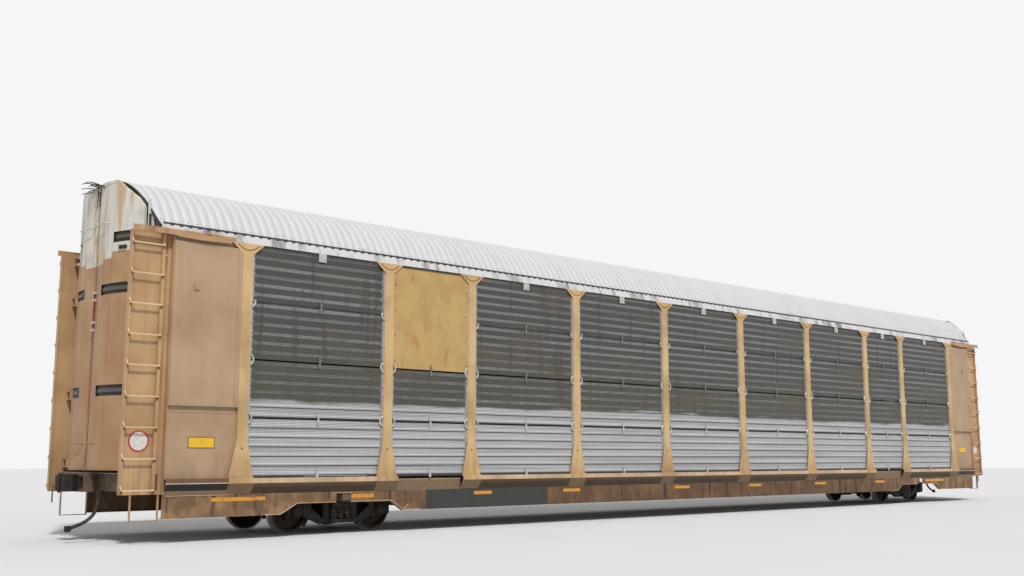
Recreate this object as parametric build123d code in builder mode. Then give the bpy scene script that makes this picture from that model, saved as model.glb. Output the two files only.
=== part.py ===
from build123d import *
import math
import os

# An enclosed three-deck rail car for carrying motor cars, on two four-wheel trucks.
# X runs along the car, Y across it and Z up, in millimetres. The A end is at -X.
# The floor of the model is the line of the wheel flange tips, under the rail head.

# Wheels and trucks
FLANGE_DEPTH = 29.0
WHEEL_RADIUS = 355.5
BACK_HALF_GAUGE = 674.0
RIM_WIDTH = 145.0
RIM_DEPTH = 48.0
HUB_RADIUS = 140.0
AXLE_RADIUS = 80.0
JOURNAL_RADIUS = 72.0
JOURNAL_Y = 1003.0
BEARING_RADIUS = 108.0
BEARING_WIDTH = 150.0
BEARING_CLEARANCE = 0.1
TRUCK_X = 9754.0
WHEEL_BASE = 1727.0
FRAME_THICKNESS = 130.0
SEAT_CLEARANCE = 0.3

# Levels over the rail head
TREAD_Z = FLANGE_DEPTH
AXLE_Z = TREAD_Z + WHEEL_RADIUS
SILL_LOW_Z = TREAD_Z + 340.0
SILL_ARCH_Z = TREAD_Z + 510.0
SILL_TOP_Z = TREAD_Z + 690.0
CENTER_LOW_Z = TREAD_Z + 360.0
BOLSTER_LOW_Z = TREAD_Z + 600.0
DECK_Z = TREAD_Z + 800.0
END_DECK_Z = TREAD_Z + 1030.0
COUPLER_Z = TREAD_Z + 876.0
CHORD_Z = TREAD_Z + 940.0
MIDDLE_DECK_Z = TREAD_Z + 2300.0
UPPER_DECK_Z = TREAD_Z + 3900.0
PANEL_LOW_Z = TREAD_Z + 950.0
PANEL_PITCH = 948.0
EAVE_Z = TREAD_Z + 4870.0

# The side wall, measured across from the middle of the car
SIDE_Y = 1525.0
PANEL_Y = 1500.0
DECK_HALF_WIDTH = 1430.0
CHORD_Y = 1560.0
SILL_Y = 1450.0
PLATE = 10.0

# The bays along the wall, from the middle post gap outwards
WIDE_BAY = 2857.0
NARROW_BAY = 1955.0
POST_HALF_WIDTH = 90.0
POST_FOOT = 220.0
PANELS_PER_BAY = 4
PANEL_GAP = 26.0
WAVES_PER_PANEL = 6
WAVE_DEPTH = 14.0
SHEET = 5.0

# The ends
COLUMN_X = 13230.0
DECK_END_X = COLUMN_X - 5.0
DECK_TONGUE_X = 13480.0
END_FRAME_DEPTH = 110.0
END_LEG_Y = 1300.0
DECK_TONGUE_Y = END_LEG_Y - 60.0
SILL_END_X = 13800.0
STRIKER_X = 13950.0
CORNER_Y = 1400.0
CORNER_X = 13900.0
DOOR_PIVOT_X = 13660.0
DOOR_PIVOT_Y = 1250.0
DOOR_EDGE_Y = 1205.0
DOOR_EDGE_X = 13620.0
DOOR_SEAM_X = 13850.0
DOOR_BULGE_X = 13888.0
DOOR_THICKNESS = 40.0
DOOR_SEAM_GAP = 8.0
DOOR_LOW_Z = TREAD_Z + 1070.0
DOOR_HIGH_Z = TREAD_Z + 5655.0
DOOR_SHOULDER_Z = TREAD_Z + 5170.0
DOOR_FLAT_Y = 680.0
PIN_RADIUS = 14.0
PIN_CLEARANCE = 0.1
KNUCKLE_RADIUS = 28.0
KNUCKLE_HEIGHT = 120.0
HINGE_HEIGHTS = (1180.0, 2300.0, 3900.0, 4600.0)
COUPLER_PIVOT_X = 13450.0
PULLING_X = 14275.0
CENTER_HALF_WIDTH = 165.0

# The roof, drawn to the crests of its ribs
ROOF_RIBS_PER_SHEET = 8
ROOF_SHEETS = 11
ROOF_EAVE_X = 13450.0
ROOF_CROWN_X = 13760.0
ROOF_RIB_DEPTH = 22.0
ROOF_SHEET = 6.0

LIP_WIDTH = 80.0

BOTH = (-1, 1)

post_places = [WIDE_BAY / 2]
for width in (WIDE_BAY, WIDE_BAY, NARROW_BAY, WIDE_BAY):
    post_places.append(post_places[-1] + width)
NARROW_X = (post_places[2], post_places[3])
LAST_POST_X = post_places[-1]
PANEL_TOP_Z = PANEL_LOW_Z + PANELS_PER_BAY * PANEL_PITCH
all_posts = sorted([-x for x in post_places] + post_places)
bays = list(zip(all_posts[:-1], all_posts[1:]))

os.makedirs("parts", exist_ok=True)


def slab(x_span, y_span, z_span, mode=Mode.ADD):
    """A plate or bar between two corners."""
    spans = (x_span, y_span, z_span)
    with Locations(tuple((a + b) / 2 for a, b in spans)):
        Box(*(abs(b - a) for a, b in spans), mode=mode)


def drawn(plane, outlines):
    """The closed outlines as one sketch on a plane."""
    with BuildSketch(plane) as faces:
        for outline in outlines:
            with BuildLine():
                Polyline(*outline, close=True)
            make_face()
    return faces.sketch


def side_plate(outlines, y_inner, y_outer, side, mode=Mode.ADD):
    """Plates along the car, drawn in (x, z), from y_inner out to y_outer on one side."""
    sketch = drawn(Plane.XZ.offset(-side * y_inner), outlines)
    return extrude(sketch, amount=-side * (y_outer - y_inner), mode=mode)


def cross_plate(outlines, x_start, x_stop, mode=Mode.ADD):
    """Plates or lengths of section across the car, drawn in (y, z)."""
    return extrude(drawn(Plane.YZ.offset(x_start), outlines), amount=x_stop - x_start, mode=mode)


def level_plate(outlines, z_low, z_high, mode=Mode.ADD):
    """Flat plates drawn in (x, y)."""
    return extrude(drawn(Plane.XY.offset(z_low), outlines), amount=z_high - z_low, mode=mode)


def save(piece, name):
    """Labels a finished piece and writes it."""
    piece.part.label = name
    export_step(piece.part, f"parts/{name}.step")


# Center sill: a box beam, deep between the trucks
SLOPE_START_X = TRUCK_X - 1850.0
SLOPE_END_X = TRUCK_X - 1300.0
RAMP_START_X = TRUCK_X + 1750.0
RAMP_END_X = RAMP_START_X + 800.0
DECK_PLATE = 12.0
DRAFT_HALF_HEIGHT = 118.0
SILL_PLATE = 12.0
DECK_LOW_Z = DECK_Z - DECK_PLATE
END_DECK_LOW_Z = END_DECK_Z - DECK_PLATE


def both_ends(half, shift=0.0):
    """A half outline in (x, z) with its mirror image, from -X to +X, raised by shift."""
    mirrored = [(-x, z + shift) for x, z in reversed(half)]
    return mirrored + [(x, z + shift) for x, z in half]


def mirrored_y(half):
    """A half outline in (y, z) from +Y in to the middle, with its mirror image; y = 0 comes once."""
    return half + [(-y, z) for y, z in reversed(half) if y]


def box_beam(deck_line, keel_line):
    """A box beam along X between a top line and a bottom line, both drawn in (x, z) towards +X."""
    inner = CENTER_HALF_WIDTH - SILL_PLATE
    under_deck = [(x, z - SILL_PLATE) for x, z in deck_line]
    over_keel = [(x, z + SILL_PLATE) for x, z in keel_line]
    for side in BOTH:
        side_plate([deck_line + keel_line[::-1]], inner, CENTER_HALF_WIDTH, side)
    side_plate([deck_line + under_deck[::-1], over_keel + keel_line[::-1]], -inner, inner, 1)


with BuildPart() as center_sill:
    box_beam(
        both_ends([(SLOPE_END_X, DECK_LOW_Z)]),
        both_ends([(SLOPE_START_X, CENTER_LOW_Z), (SLOPE_END_X, BOLSTER_LOW_Z)]),
    )
save(center_sill, "center_sill")

# Draft sills: the raised ends of the center line, welded to the center sill inside each truck
deck_half = [
    (SLOPE_END_X, DECK_LOW_Z),
    (RAMP_START_X, DECK_LOW_Z),
    (RAMP_END_X, END_DECK_LOW_Z),
    (SILL_END_X, END_DECK_LOW_Z),
]
keel_half = [
    (SLOPE_END_X, BOLSTER_LOW_Z),
    (RAMP_START_X, BOLSTER_LOW_Z),
    (RAMP_END_X, COUPLER_Z - DRAFT_HALF_HEIGHT),
    (SILL_END_X, COUPLER_Z - DRAFT_HALF_HEIGHT),
]
with BuildPart() as draft_sills:
    for end in BOTH:
        box_beam([(end * x, z) for x, z in deck_half], [(end * x, z) for x, z in keel_half])
save(draft_sills, "draft_sills")

# Crossbearers: tapered webs with a bottom flange, out from the center sill under each post pair
BEARER_WEB = 12.0
BEARER_FLANGE = 150.0
BEARER_TIP_Z = SILL_TOP_Z - 130.0
BEARER_ROOT_Z = CENTER_LOW_Z + 40.0
BEARER_END_Y = SILL_Y - PLATE
with BuildPart() as crossbearers:
    root_y = CENTER_HALF_WIDTH
    web = [
        (root_y, BEARER_ROOT_Z),
        (BEARER_END_Y - LIP_WIDTH, BEARER_TIP_Z),
        (BEARER_END_Y, BEARER_TIP_Z),
        (BEARER_END_Y, DECK_LOW_Z),
        (root_y, DECK_LOW_Z),
    ]
    flange = [
        (root_y, BEARER_ROOT_Z - PLATE),
        (BEARER_END_Y - LIP_WIDTH, BEARER_TIP_Z - PLATE),
        (BEARER_END_Y - LIP_WIDTH, BEARER_TIP_Z),
        (root_y, BEARER_ROOT_Z),
    ]
    for x in [end * x for end in BOTH for x in post_places[:3]]:
        for outline, half in ((web, BEARER_WEB / 2), (flange, BEARER_FLANGE / 2)):
            pair = [[(side * y, z) for y, z in outline] for side in BOTH]
            cross_plate(pair, x - half, x + half)
save(crossbearers, "crossbearers")

# Side sills: a deep web with an arch over each truck, a pocket at each bolster and a lip along the edge
ARCH_X = (TRUCK_X - 814.0, TRUCK_X + 1106.0)
ARCH_SLOPE = (270.0, 310.0)
POCKET_X = (TRUCK_X + 36.0, TRUCK_X + 336.0)
POCKET_Z = SILL_TOP_Z - 25.0
arch_edge = [
    (ARCH_X[0] - ARCH_SLOPE[0], SILL_LOW_Z),
    (ARCH_X[0], SILL_ARCH_Z),
    (ARCH_X[1], SILL_ARCH_Z),
    (ARCH_X[1] + ARCH_SLOPE[1], SILL_LOW_Z),
    (COLUMN_X, SILL_LOW_Z),
]
with BuildPart() as side_sills:
    edge = both_ends(arch_edge)
    lip = both_ends(arch_edge, PLATE)
    top_edge = [(COLUMN_X, SILL_TOP_Z), (-COLUMN_X, SILL_TOP_Z)]
    for side in BOTH:
        side_plate([edge + top_edge], SILL_Y - PLATE, SILL_Y, side)
        side_plate([edge + lip[::-1]], SILL_Y - PLATE - LIP_WIDTH, SILL_Y - PLATE, side)
        for end in BOTH:
            slab(
                (end * POCKET_X[0], end * POCKET_X[1]),
                (side * (SILL_Y - PLATE - LIP_WIDTH), side * SILL_Y),
                (SILL_ARCH_Z, POCKET_Z),
                mode=Mode.SUBTRACT,
            )
save(side_sills, "side_sills")

# Body bolsters: a box beam across the car over each truck, with center plates and jacking pads
BOLSTER_HALF_WIDTH = 200.0
BOLSTER_TIP_Z = SILL_ARCH_Z + 30.0
CENTER_PLATE_RADIUS = 178.0
CENTER_PLATE_Z = BOLSTER_LOW_Z - 45.0
PAD_Y = (BEARER_END_Y - 260.0, BEARER_END_Y - LIP_WIDTH - 10.0)
PAD_DEPTH = 24.0
with BuildPart() as body_bolsters:
    beam = [
        (CENTER_HALF_WIDTH, BOLSTER_LOW_Z),
        (PAD_Y[0] - 20.0, BOLSTER_LOW_Z),
        (PAD_Y[0], BOLSTER_TIP_Z),
        (BEARER_END_Y, BOLSTER_TIP_Z),
        (BEARER_END_Y, DECK_LOW_Z),
        (CENTER_HALF_WIDTH, DECK_LOW_Z),
    ]
    pad = [
        (PAD_Y[0], BOLSTER_TIP_Z - PAD_DEPTH),
        (PAD_Y[1], BOLSTER_TIP_Z - PAD_DEPTH),
        (PAD_Y[1], BOLSTER_TIP_Z),
        (PAD_Y[0], BOLSTER_TIP_Z),
    ]
    for end in BOTH:
        for outline, half in ((beam, BOLSTER_HALF_WIDTH), (pad, BOLSTER_HALF_WIDTH - 60.0)):
            pair = [[(side * y, z) for y, z in outline] for side in BOTH]
            cross_plate(pair, end * TRUCK_X - half, end * TRUCK_X + half)
    with BuildSketch(Plane.XY.offset(CENTER_PLATE_Z)):
        with Locations(*[(end * TRUCK_X, 0) for end in BOTH]):
            Circle(CENTER_PLATE_RADIUS)
    extrude(amount=BOLSTER_LOW_Z - CENTER_PLATE_Z)
save(body_bolsters, "body_bolsters")

# Decks: the lower one ramps up at both ends, the others are level with edge channels
END_SILL_X = (SILL_END_X - 240.0, SILL_END_X - 100.0)
with BuildPart() as lower_deck:
    under = both_ends(
        [(RAMP_START_X, DECK_LOW_Z), (RAMP_END_X, END_DECK_LOW_Z), (DECK_END_X, END_DECK_LOW_Z)]
    )
    over = [(x, z + DECK_PLATE) for x, z in under]
    side_plate([over + under[::-1]], -DECK_HALF_WIDTH, DECK_HALF_WIDTH, 1)
    for end in BOTH:
        slab(
            (end * DECK_END_X, end * END_SILL_X[1]),
            (-DECK_TONGUE_Y, DECK_TONGUE_Y),
            (END_DECK_LOW_Z, END_DECK_Z),
        )
save(lower_deck, "lower_deck")

DECK_SHEET = 8.0
DECK_CHANNEL_HEIGHT = 110.0
DECK_CHANNEL_WIDTH = 60.0
DECK_RIDGE = 30.0
DECK_RIDGES = 9
DECK_RIDGE_SLOPE = 25.0


def deck_top_line(top):
    """The pressed sheet's upper line in (y, z) from edge to edge: flats with troughs between them."""
    span = DECK_HALF_WIDTH - DECK_CHANNEL_WIDTH
    pitch = 2 * span / DECK_RIDGES
    line = [(-span, top)]
    for number in range(DECK_RIDGES):
        middle = -span + (number + 0.5) * pitch
        line.append((middle - pitch / 4 - DECK_RIDGE_SLOPE, top))
        line.append((middle - pitch / 4, top - DECK_RIDGE))
        line.append((middle + pitch / 4, top - DECK_RIDGE))
        line.append((middle + pitch / 4 + DECK_RIDGE_SLOPE, top))
    return line + [(span, top)]


def raised_deck(top):
    """A pressed deck sheet with a channel at each edge and a plain tongue at each end."""
    low = top - DECK_CHANNEL_HEIGHT
    edge_y = DECK_HALF_WIDTH
    channel = [
        (edge_y, top),
        (edge_y, low),
        (edge_y - DECK_CHANNEL_WIDTH, low),
        (edge_y - DECK_CHANNEL_WIDTH, low + DECK_SHEET),
        (edge_y - DECK_SHEET, low + DECK_SHEET),
        (edge_y - DECK_SHEET, top - DECK_SHEET),
    ]
    top_line = deck_top_line(top)
    under_line = [(y, z - DECK_SHEET) for y, z in reversed(top_line)]
    left = [(-y, z) for y, z in reversed(channel)]
    section = channel + under_line + left + top_line
    cross_plate([section], -DECK_END_X, DECK_END_X)
    for end in BOTH:
        slab(
            (end * DECK_END_X, end * DECK_TONGUE_X),
            (-DECK_TONGUE_Y, DECK_TONGUE_Y),
            (top - DECK_SHEET, top),
        )


with BuildPart() as middle_deck:
    raised_deck(MIDDLE_DECK_Z)
save(middle_deck, "middle_deck")

with BuildPart() as upper_deck:
    raised_deck(UPPER_DECK_Z)
save(upper_deck, "upper_deck")

# Lower chords: the sloping skirt and bright strip under the wall, set back and low in the narrow bays
CHORD_STRIP = 80.0
CHORD_DROP = 45.0
SET_BACK_Y = SILL_Y + 20.0


def chord_section(outer, side, drop=0.0):
    """Skirt, strip and top flange in (y, z), the strip and flange lowered by drop."""
    shape = [
        (SILL_Y - PLATE, SILL_TOP_Z),
        (SILL_Y, SILL_TOP_Z),
        (outer, CHORD_Z - CHORD_STRIP),
        (outer, CHORD_Z - drop),
        (DECK_HALF_WIDTH, CHORD_Z - drop),
        (DECK_HALF_WIDTH, CHORD_Z - drop - PLATE),
        (outer - PLATE, CHORD_Z - drop - PLATE),
        (outer - PLATE, CHORD_Z - CHORD_STRIP),
    ]
    return [(side * y, z) for y, z in shape]


with BuildPart() as lower_chords:
    proud = [chord_section(CHORD_Y, side) for side in BOTH]
    set_back = [chord_section(SET_BACK_Y, side, CHORD_DROP) for side in BOTH]
    step_x = (NARROW_X[0] + POST_FOOT, NARROW_X[1] - POST_FOOT)
    cross_plate(proud, -step_x[0], step_x[0])
    for end in BOTH:
        cross_plate(proud, end * step_x[1], end * COLUMN_X)
        cross_plate(set_back, end * step_x[0], end * step_x[1])
save(lower_chords, "lower_chords")

# Posts: a channel with a spreading head and a flared foot saddled over the chord, ten to a side
POST_WEB = 8.0
POST_FOOT_TOP = TREAD_Z + 1570.0
POST_HEAD = 300.0
SADDLE = 8.0
POST_HEAD_Z = PANEL_TOP_Z - 180.0


def post_outline(x):
    """The post's face in (x, z)."""
    half = [
        (POST_FOOT, CHORD_Z),
        (POST_HALF_WIDTH, POST_FOOT_TOP),
        (POST_HALF_WIDTH, POST_HEAD_Z),
        (POST_HEAD, PANEL_TOP_Z),
    ]
    return [(x + dx, z) for dx, z in half] + [(x - dx, z) for dx, z in reversed(half)]


def wall_posts(side):
    """All the posts of one side."""
    side_plate([post_outline(x) for x in all_posts], SIDE_Y - POST_WEB, SIDE_Y, side)
    flange_y = (DECK_HALF_WIDTH + SIDE_Y - POST_WEB) / 2
    flange_z = (CHORD_Z + PANEL_TOP_Z) / 2
    offset_x = POST_HALF_WIDTH - POST_WEB / 2
    with Locations(*[(x + edge * offset_x, side * flange_y, flange_z) for x in all_posts for edge in BOTH]):
        Box(POST_WEB, SIDE_Y - POST_WEB - DECK_HALF_WIDTH, PANEL_TOP_Z - CHORD_Z)
    saddle = [
        (SIDE_Y - POST_WEB, CHORD_Z),
        (CHORD_Y, CHORD_Z),
        (CHORD_Y, CHORD_Z - CHORD_STRIP),
        (SILL_Y, SILL_TOP_Z),
        (SILL_Y + SADDLE, SILL_TOP_Z),
        (CHORD_Y + SADDLE, CHORD_Z - CHORD_STRIP),
        (CHORD_Y + SADDLE, CHORD_Z + SADDLE),
        (SIDE_Y - POST_WEB, CHORD_Z + SADDLE),
    ]
    for x in all_posts:
        cross_plate([[(side * y, z) for y, z in saddle]], x - POST_FOOT, x + POST_FOOT)


with BuildPart() as posts_right:
    wall_posts(-1)
save(posts_right, "posts_right")

with BuildPart() as posts_left:
    wall_posts(1)
save(posts_left, "posts_left")

# Top chords: the beam over the posts, the ledge that the roof stands on and the end beams
TOP_WEB_Y = SIDE_Y - 25.0
TOP_CHORD_Z = EAVE_Z + 15.0
TOP_BEAM_HEIGHT = 58.0
END_BEAM_DEPTH = 25.0
END_BEAM_HEIGHT = 88.0
END_BEAM_X = (LAST_POST_X + POST_HEAD + 5.0, CORNER_X + 20.0)
with BuildPart() as top_chords:
    shape = [
        (DECK_HALF_WIDTH, PANEL_TOP_Z),
        (SIDE_Y, PANEL_TOP_Z),
        (SIDE_Y, PANEL_TOP_Z + TOP_BEAM_HEIGHT),
        (TOP_WEB_Y, PANEL_TOP_Z + TOP_BEAM_HEIGHT),
        (TOP_WEB_Y, TOP_CHORD_Z),
        (TOP_WEB_Y - PLATE, TOP_CHORD_Z),
        (TOP_WEB_Y - PLATE, EAVE_Z),
        (DECK_HALF_WIDTH, EAVE_Z),
        (DECK_HALF_WIDTH, EAVE_Z - PLATE),
        (TOP_WEB_Y - PLATE, EAVE_Z - PLATE),
        (TOP_WEB_Y - PLATE, PANEL_TOP_Z + PLATE),
        (DECK_HALF_WIDTH, PANEL_TOP_Z + PLATE),
    ]
    cross_plate([[(side * y, z) for y, z in shape] for side in BOTH], -ROOF_EAVE_X, ROOF_EAVE_X)
    for end in BOTH:
        for side in BOTH:
            slab(
                (end * END_BEAM_X[0], end * END_BEAM_X[1]),
                (side * SIDE_Y, side * (SIDE_Y + END_BEAM_DEPTH)),
                (PANEL_TOP_Z + TOP_BEAM_HEIGHT - END_BEAM_HEIGHT, PANEL_TOP_Z + TOP_BEAM_HEIGHT),
            )
save(top_chords, "top_chords")

# Wall panels: corrugated sheets, four to a bay, with a plain sheet in the upper half of one bay
PLAIN_BAY = 1


def wave(row, side):
    """The closed zigzag outline in (y, z) of one corrugated sheet, waves stacked upwards."""
    low = PANEL_LOW_Z + row * PANEL_PITCH + PANEL_GAP / 2
    step = (PANEL_PITCH - PANEL_GAP) / (2 * WAVES_PER_PANEL)
    ridge = [PANEL_Y - WAVE_DEPTH * (i % 2) for i in range(2 * WAVES_PER_PANEL + 1)]
    outer = [(side * y, low + i * step) for i, y in enumerate(ridge)]
    inner = [(y - side * SHEET, z) for y, z in reversed(outer)]
    return outer + inner


def wall_panels(side):
    """The corrugated panels of one side; the bay with a plain sheet keeps its lower rows."""
    plain_bay = PLAIN_BAY if side < 0 else len(bays) - 1 - PLAIN_BAY
    columns = []
    for number, (x_low, x_high) in enumerate(bays):
        rows = PANELS_PER_BAY // 2 if number == plain_bay else PANELS_PER_BAY
        for row in range(rows):
            start = x_low + POST_HALF_WIDTH
            stop = x_high - POST_HALF_WIDTH
            columns.append(cross_plate([wave(row, side)], start, stop, mode=Mode.PRIVATE))
    add(columns)


with BuildPart() as panels_right:
    wall_panels(-1)
save(panels_right, "panels_right")

with BuildPart() as panels_left:
    wall_panels(1)
save(panels_left, "panels_left")

with BuildPart() as plain_panels:
    for side in BOTH:
        x_low, x_high = bays[PLAIN_BAY] if side < 0 else bays[-1 - PLAIN_BAY]
        slab(
            (x_low + POST_HALF_WIDTH, x_high - POST_HALF_WIDTH),
            (side * (PANEL_Y - SHEET), side * PANEL_Y),
            (PANEL_LOW_Z + PANELS_PER_BAY // 2 * PANEL_PITCH + PANEL_GAP / 2, PANEL_TOP_Z - PANEL_GAP / 2),
        )
save(plain_panels, "plain_panels")

# Corner columns: a plate behind each ladder, bent out to the end panel and in along the door
COLUMN_FLANGE_Y = SIDE_Y - 25.0
CORNER_LOW_Z = TREAD_Z + 710.0
DOOR_FLANGE = 30.0
SLOT_X = (COLUMN_X + 60.0, COLUMN_X + 100.0)
SLOT_MARGIN = 60.0
LUG_HEIGHTS = (3880.0, 4400.0)
LUG_HEIGHT = 40.0
RIB_X = SLOT_X[1] + 15.0
RIB_DEPTH = 22.0
with BuildPart() as corner_columns:
    plan = [
        (COLUMN_X, CORNER_Y - PLATE),
        (COLUMN_X, COLUMN_FLANGE_Y),
        (COLUMN_X + PLATE, COLUMN_FLANGE_Y),
        (COLUMN_X + PLATE, CORNER_Y),
        (RIB_X, CORNER_Y),
        (RIB_X, CORNER_Y + RIB_DEPTH),
        (RIB_X + PLATE, CORNER_Y + RIB_DEPTH),
        (RIB_X + PLATE, CORNER_Y),
        (CORNER_X, CORNER_Y),
        (CORNER_X, CORNER_Y - DOOR_FLANGE),
        (CORNER_X - PLATE, CORNER_Y - DOOR_FLANGE),
        (CORNER_X - PLATE, CORNER_Y - PLATE),
    ]
    corners = [[(end * x, side * y) for x, y in plan] for end in BOTH for side in BOTH]
    level_plate(corners, CORNER_LOW_Z, PANEL_TOP_Z)
    slot_z = [CORNER_LOW_Z + SLOT_MARGIN]
    for height in LUG_HEIGHTS:
        slot_z += [TREAD_Z + height - LUG_HEIGHT / 2, TREAD_Z + height + LUG_HEIGHT / 2]
    slot_z.append(PANEL_TOP_Z - SLOT_MARGIN)
    for low, high in zip(slot_z[::2], slot_z[1::2]):
        with Locations(*[((SLOT_X[0] + SLOT_X[1]) / 2 * end, 0, (low + high) / 2) for end in BOTH]):
            Box(SLOT_X[1] - SLOT_X[0], 2 * CORNER_Y, high - low, mode=Mode.SUBTRACT)
save(corner_columns, "corner_columns")

# End panels: a proud upper plate and a recessed lower one between the last post and the column
END_PLATE_Z = (TREAD_Z + 2060.0, TREAD_Z + 4640.0)
LOW_PLATE_Z = (CHORD_Z, TREAD_Z + 2020.0)
END_PLATE_START_X = LAST_POST_X + POST_HALF_WIDTH
END_PLATE_RECESS = 30.0
with BuildPart() as end_panels:
    upper_plan = [
        (END_PLATE_START_X, SIDE_Y - POST_WEB - PLATE),
        (END_PLATE_START_X, SIDE_Y - POST_WEB),
        (COLUMN_X, SIDE_Y - POST_WEB),
        (COLUMN_X, DECK_HALF_WIDTH),
        (COLUMN_X - PLATE, DECK_HALF_WIDTH),
        (COLUMN_X - PLATE, SIDE_Y - POST_WEB - PLATE),
    ]
    inner_y = PANEL_Y - END_PLATE_RECESS
    lower_plan = [
        (END_PLATE_START_X, inner_y),
        (COLUMN_X, inner_y),
        (COLUMN_X, inner_y - PLATE),
        (END_PLATE_START_X, inner_y - PLATE),
    ]
    backing_plan = [(min(x, COLUMN_X - PLATE), y) for x, y in lower_plan]
    backing_z = (LOW_PLATE_Z[1], PANEL_TOP_Z)
    for plan, levels in ((upper_plan, END_PLATE_Z), (lower_plan, LOW_PLATE_Z), (backing_plan, backing_z)):
        plates = [[(end * x, side * y) for x, y in plan] for end in BOTH for side in BOTH]
        level_plate(plates, *levels)
save(end_panels, "end_panels")

# Roof: corrugated sheets bent over the car, their end edges sloped back towards the eaves
ROOF_RISE = 870.0
roof_crests = [(1470.0, 0.0), (1390.0, 120.0), (1150.0, 470.0), (700.0, 770.0), (0.0, ROOF_RISE)]
SHEET_GAP = 2.0
SHEET_PITCH = 2 * ROOF_CROWN_X / ROOF_SHEETS
ROOF_PITCH = (SHEET_PITCH - SHEET_GAP) / ROOF_RIBS_PER_SHEET
EAVE_TRIM = 60.0


def roof_half(depth):
    """The roof's half section in (y, z) from the eave to the crown, depth under the crests."""
    line = []
    for y, rise in roof_crests:
        scale = 1 - depth / math.hypot(y, rise)
        line.append((y * scale, EAVE_Z + rise * scale))
    return line


valley = roof_half(ROOF_RIB_DEPTH)
arch_points = [(0, -y, z) for y, z in valley] + [(0, y, z) for y, z in reversed(valley[:-1])]
first_run = (Vector(arch_points[1]) - Vector(arch_points[0])).normalized()
arch_start = Vector(arch_points[0]) - first_run * EAVE_TRIM
arch_stop = Vector(0, -arch_start.Y, arch_start.Z)

with BuildPart() as roof_sheet:
    with BuildLine() as arch_line:
        Polyline(arch_start, *arch_points[1:-1], arch_stop)
    with BuildSketch(Plane(origin=arch_start, x_dir=(1, 0, 0), z_dir=first_run)):
        crests = range(2 * ROOF_RIBS_PER_SHEET + 1)
        ridge_line = [(i * ROOF_PITCH / 2, -ROOF_RIB_DEPTH * (i % 2)) for i in crests]
        with BuildLine():
            Polyline(*ridge_line, *[(x, y + ROOF_SHEET) for x, y in reversed(ridge_line)], close=True)
        make_face()
    sweep(path=arch_line.wire(), transition=Transition.RIGHT)
    slab((-1.0, SHEET_PITCH), (-SIDE_Y, SIDE_Y), (EAVE_Z - 2 * EAVE_TRIM, EAVE_Z), mode=Mode.SUBTRACT)

with BuildPart() as roof_end_sheet:
    add(roof_sheet.part)
    slope = [
        (-1.0, EAVE_Z - 1.0),
        (ROOF_CROWN_X - ROOF_EAVE_X, EAVE_Z - 1.0),
        (0.0, EAVE_Z + ROOF_RISE + 1.0),
        (-1.0, EAVE_Z + ROOF_RISE + 1.0),
    ]
    side_plate([slope], -SIDE_Y, SIDE_Y, 1, mode=Mode.SUBTRACT)

with BuildPart() as roof:
    with Locations(*[(-ROOF_CROWN_X + i * SHEET_PITCH, 0, 0) for i in range(1, ROOF_SHEETS - 1)]):
        add(roof_sheet.part)
    with Locations((-ROOF_CROWN_X, 0, 0), Location((ROOF_CROWN_X, 0, 0), (0, 0, 180))):
        add(roof_end_sheet.part)
save(roof, "roof")

# End frames: two legs beside the decks and a carline under the roof's edge
CARLINE = 80.0
CARLINE_TOP = ROOF_RIB_DEPTH + ROOF_SHEET + 6.0
for name, end in (("a", -1), ("b", 1)):
    with BuildPart() as end_frame:
        leg_out = [(CORNER_Y - PLATE, END_DECK_LOW_Z), (CORNER_Y - PLATE, EAVE_Z)]
        leg_in = [(END_LEG_Y, END_DECK_LOW_Z), (END_LEG_Y, EAVE_Z)]
        outer = mirrored_y(leg_out + roof_half(CARLINE_TOP))
        inner = mirrored_y(leg_in + roof_half(CARLINE_TOP + CARLINE)[1:])
        start = COLUMN_X + PLATE
        portal = outer + inner[::-1]
        cross_plate([portal], end * start, end * (start + END_FRAME_DEPTH))
    save(end_frame, f"end_frame_{name}")

# End sills: a cross beam under the door and an arm back to the column on each side
END_SILL_LOW_Z = CORNER_LOW_Z + 40.0
with BuildPart() as end_sills:
    plan = [
        (COLUMN_X + PLATE, CORNER_Y - PLATE),
        (END_SILL_X[1], CORNER_Y - PLATE),
        (END_SILL_X[1], CENTER_HALF_WIDTH),
        (END_SILL_X[0], CENTER_HALF_WIDTH),
        (END_SILL_X[0], END_LEG_Y),
        (COLUMN_X + PLATE, END_LEG_Y),
    ]
    beams = [[(end * x, side * y) for x, y in plan] for end in BOTH for side in BOTH]
    level_plate(beams, END_SILL_LOW_Z, END_DECK_LOW_Z)
save(end_sills, "end_sills")

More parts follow.
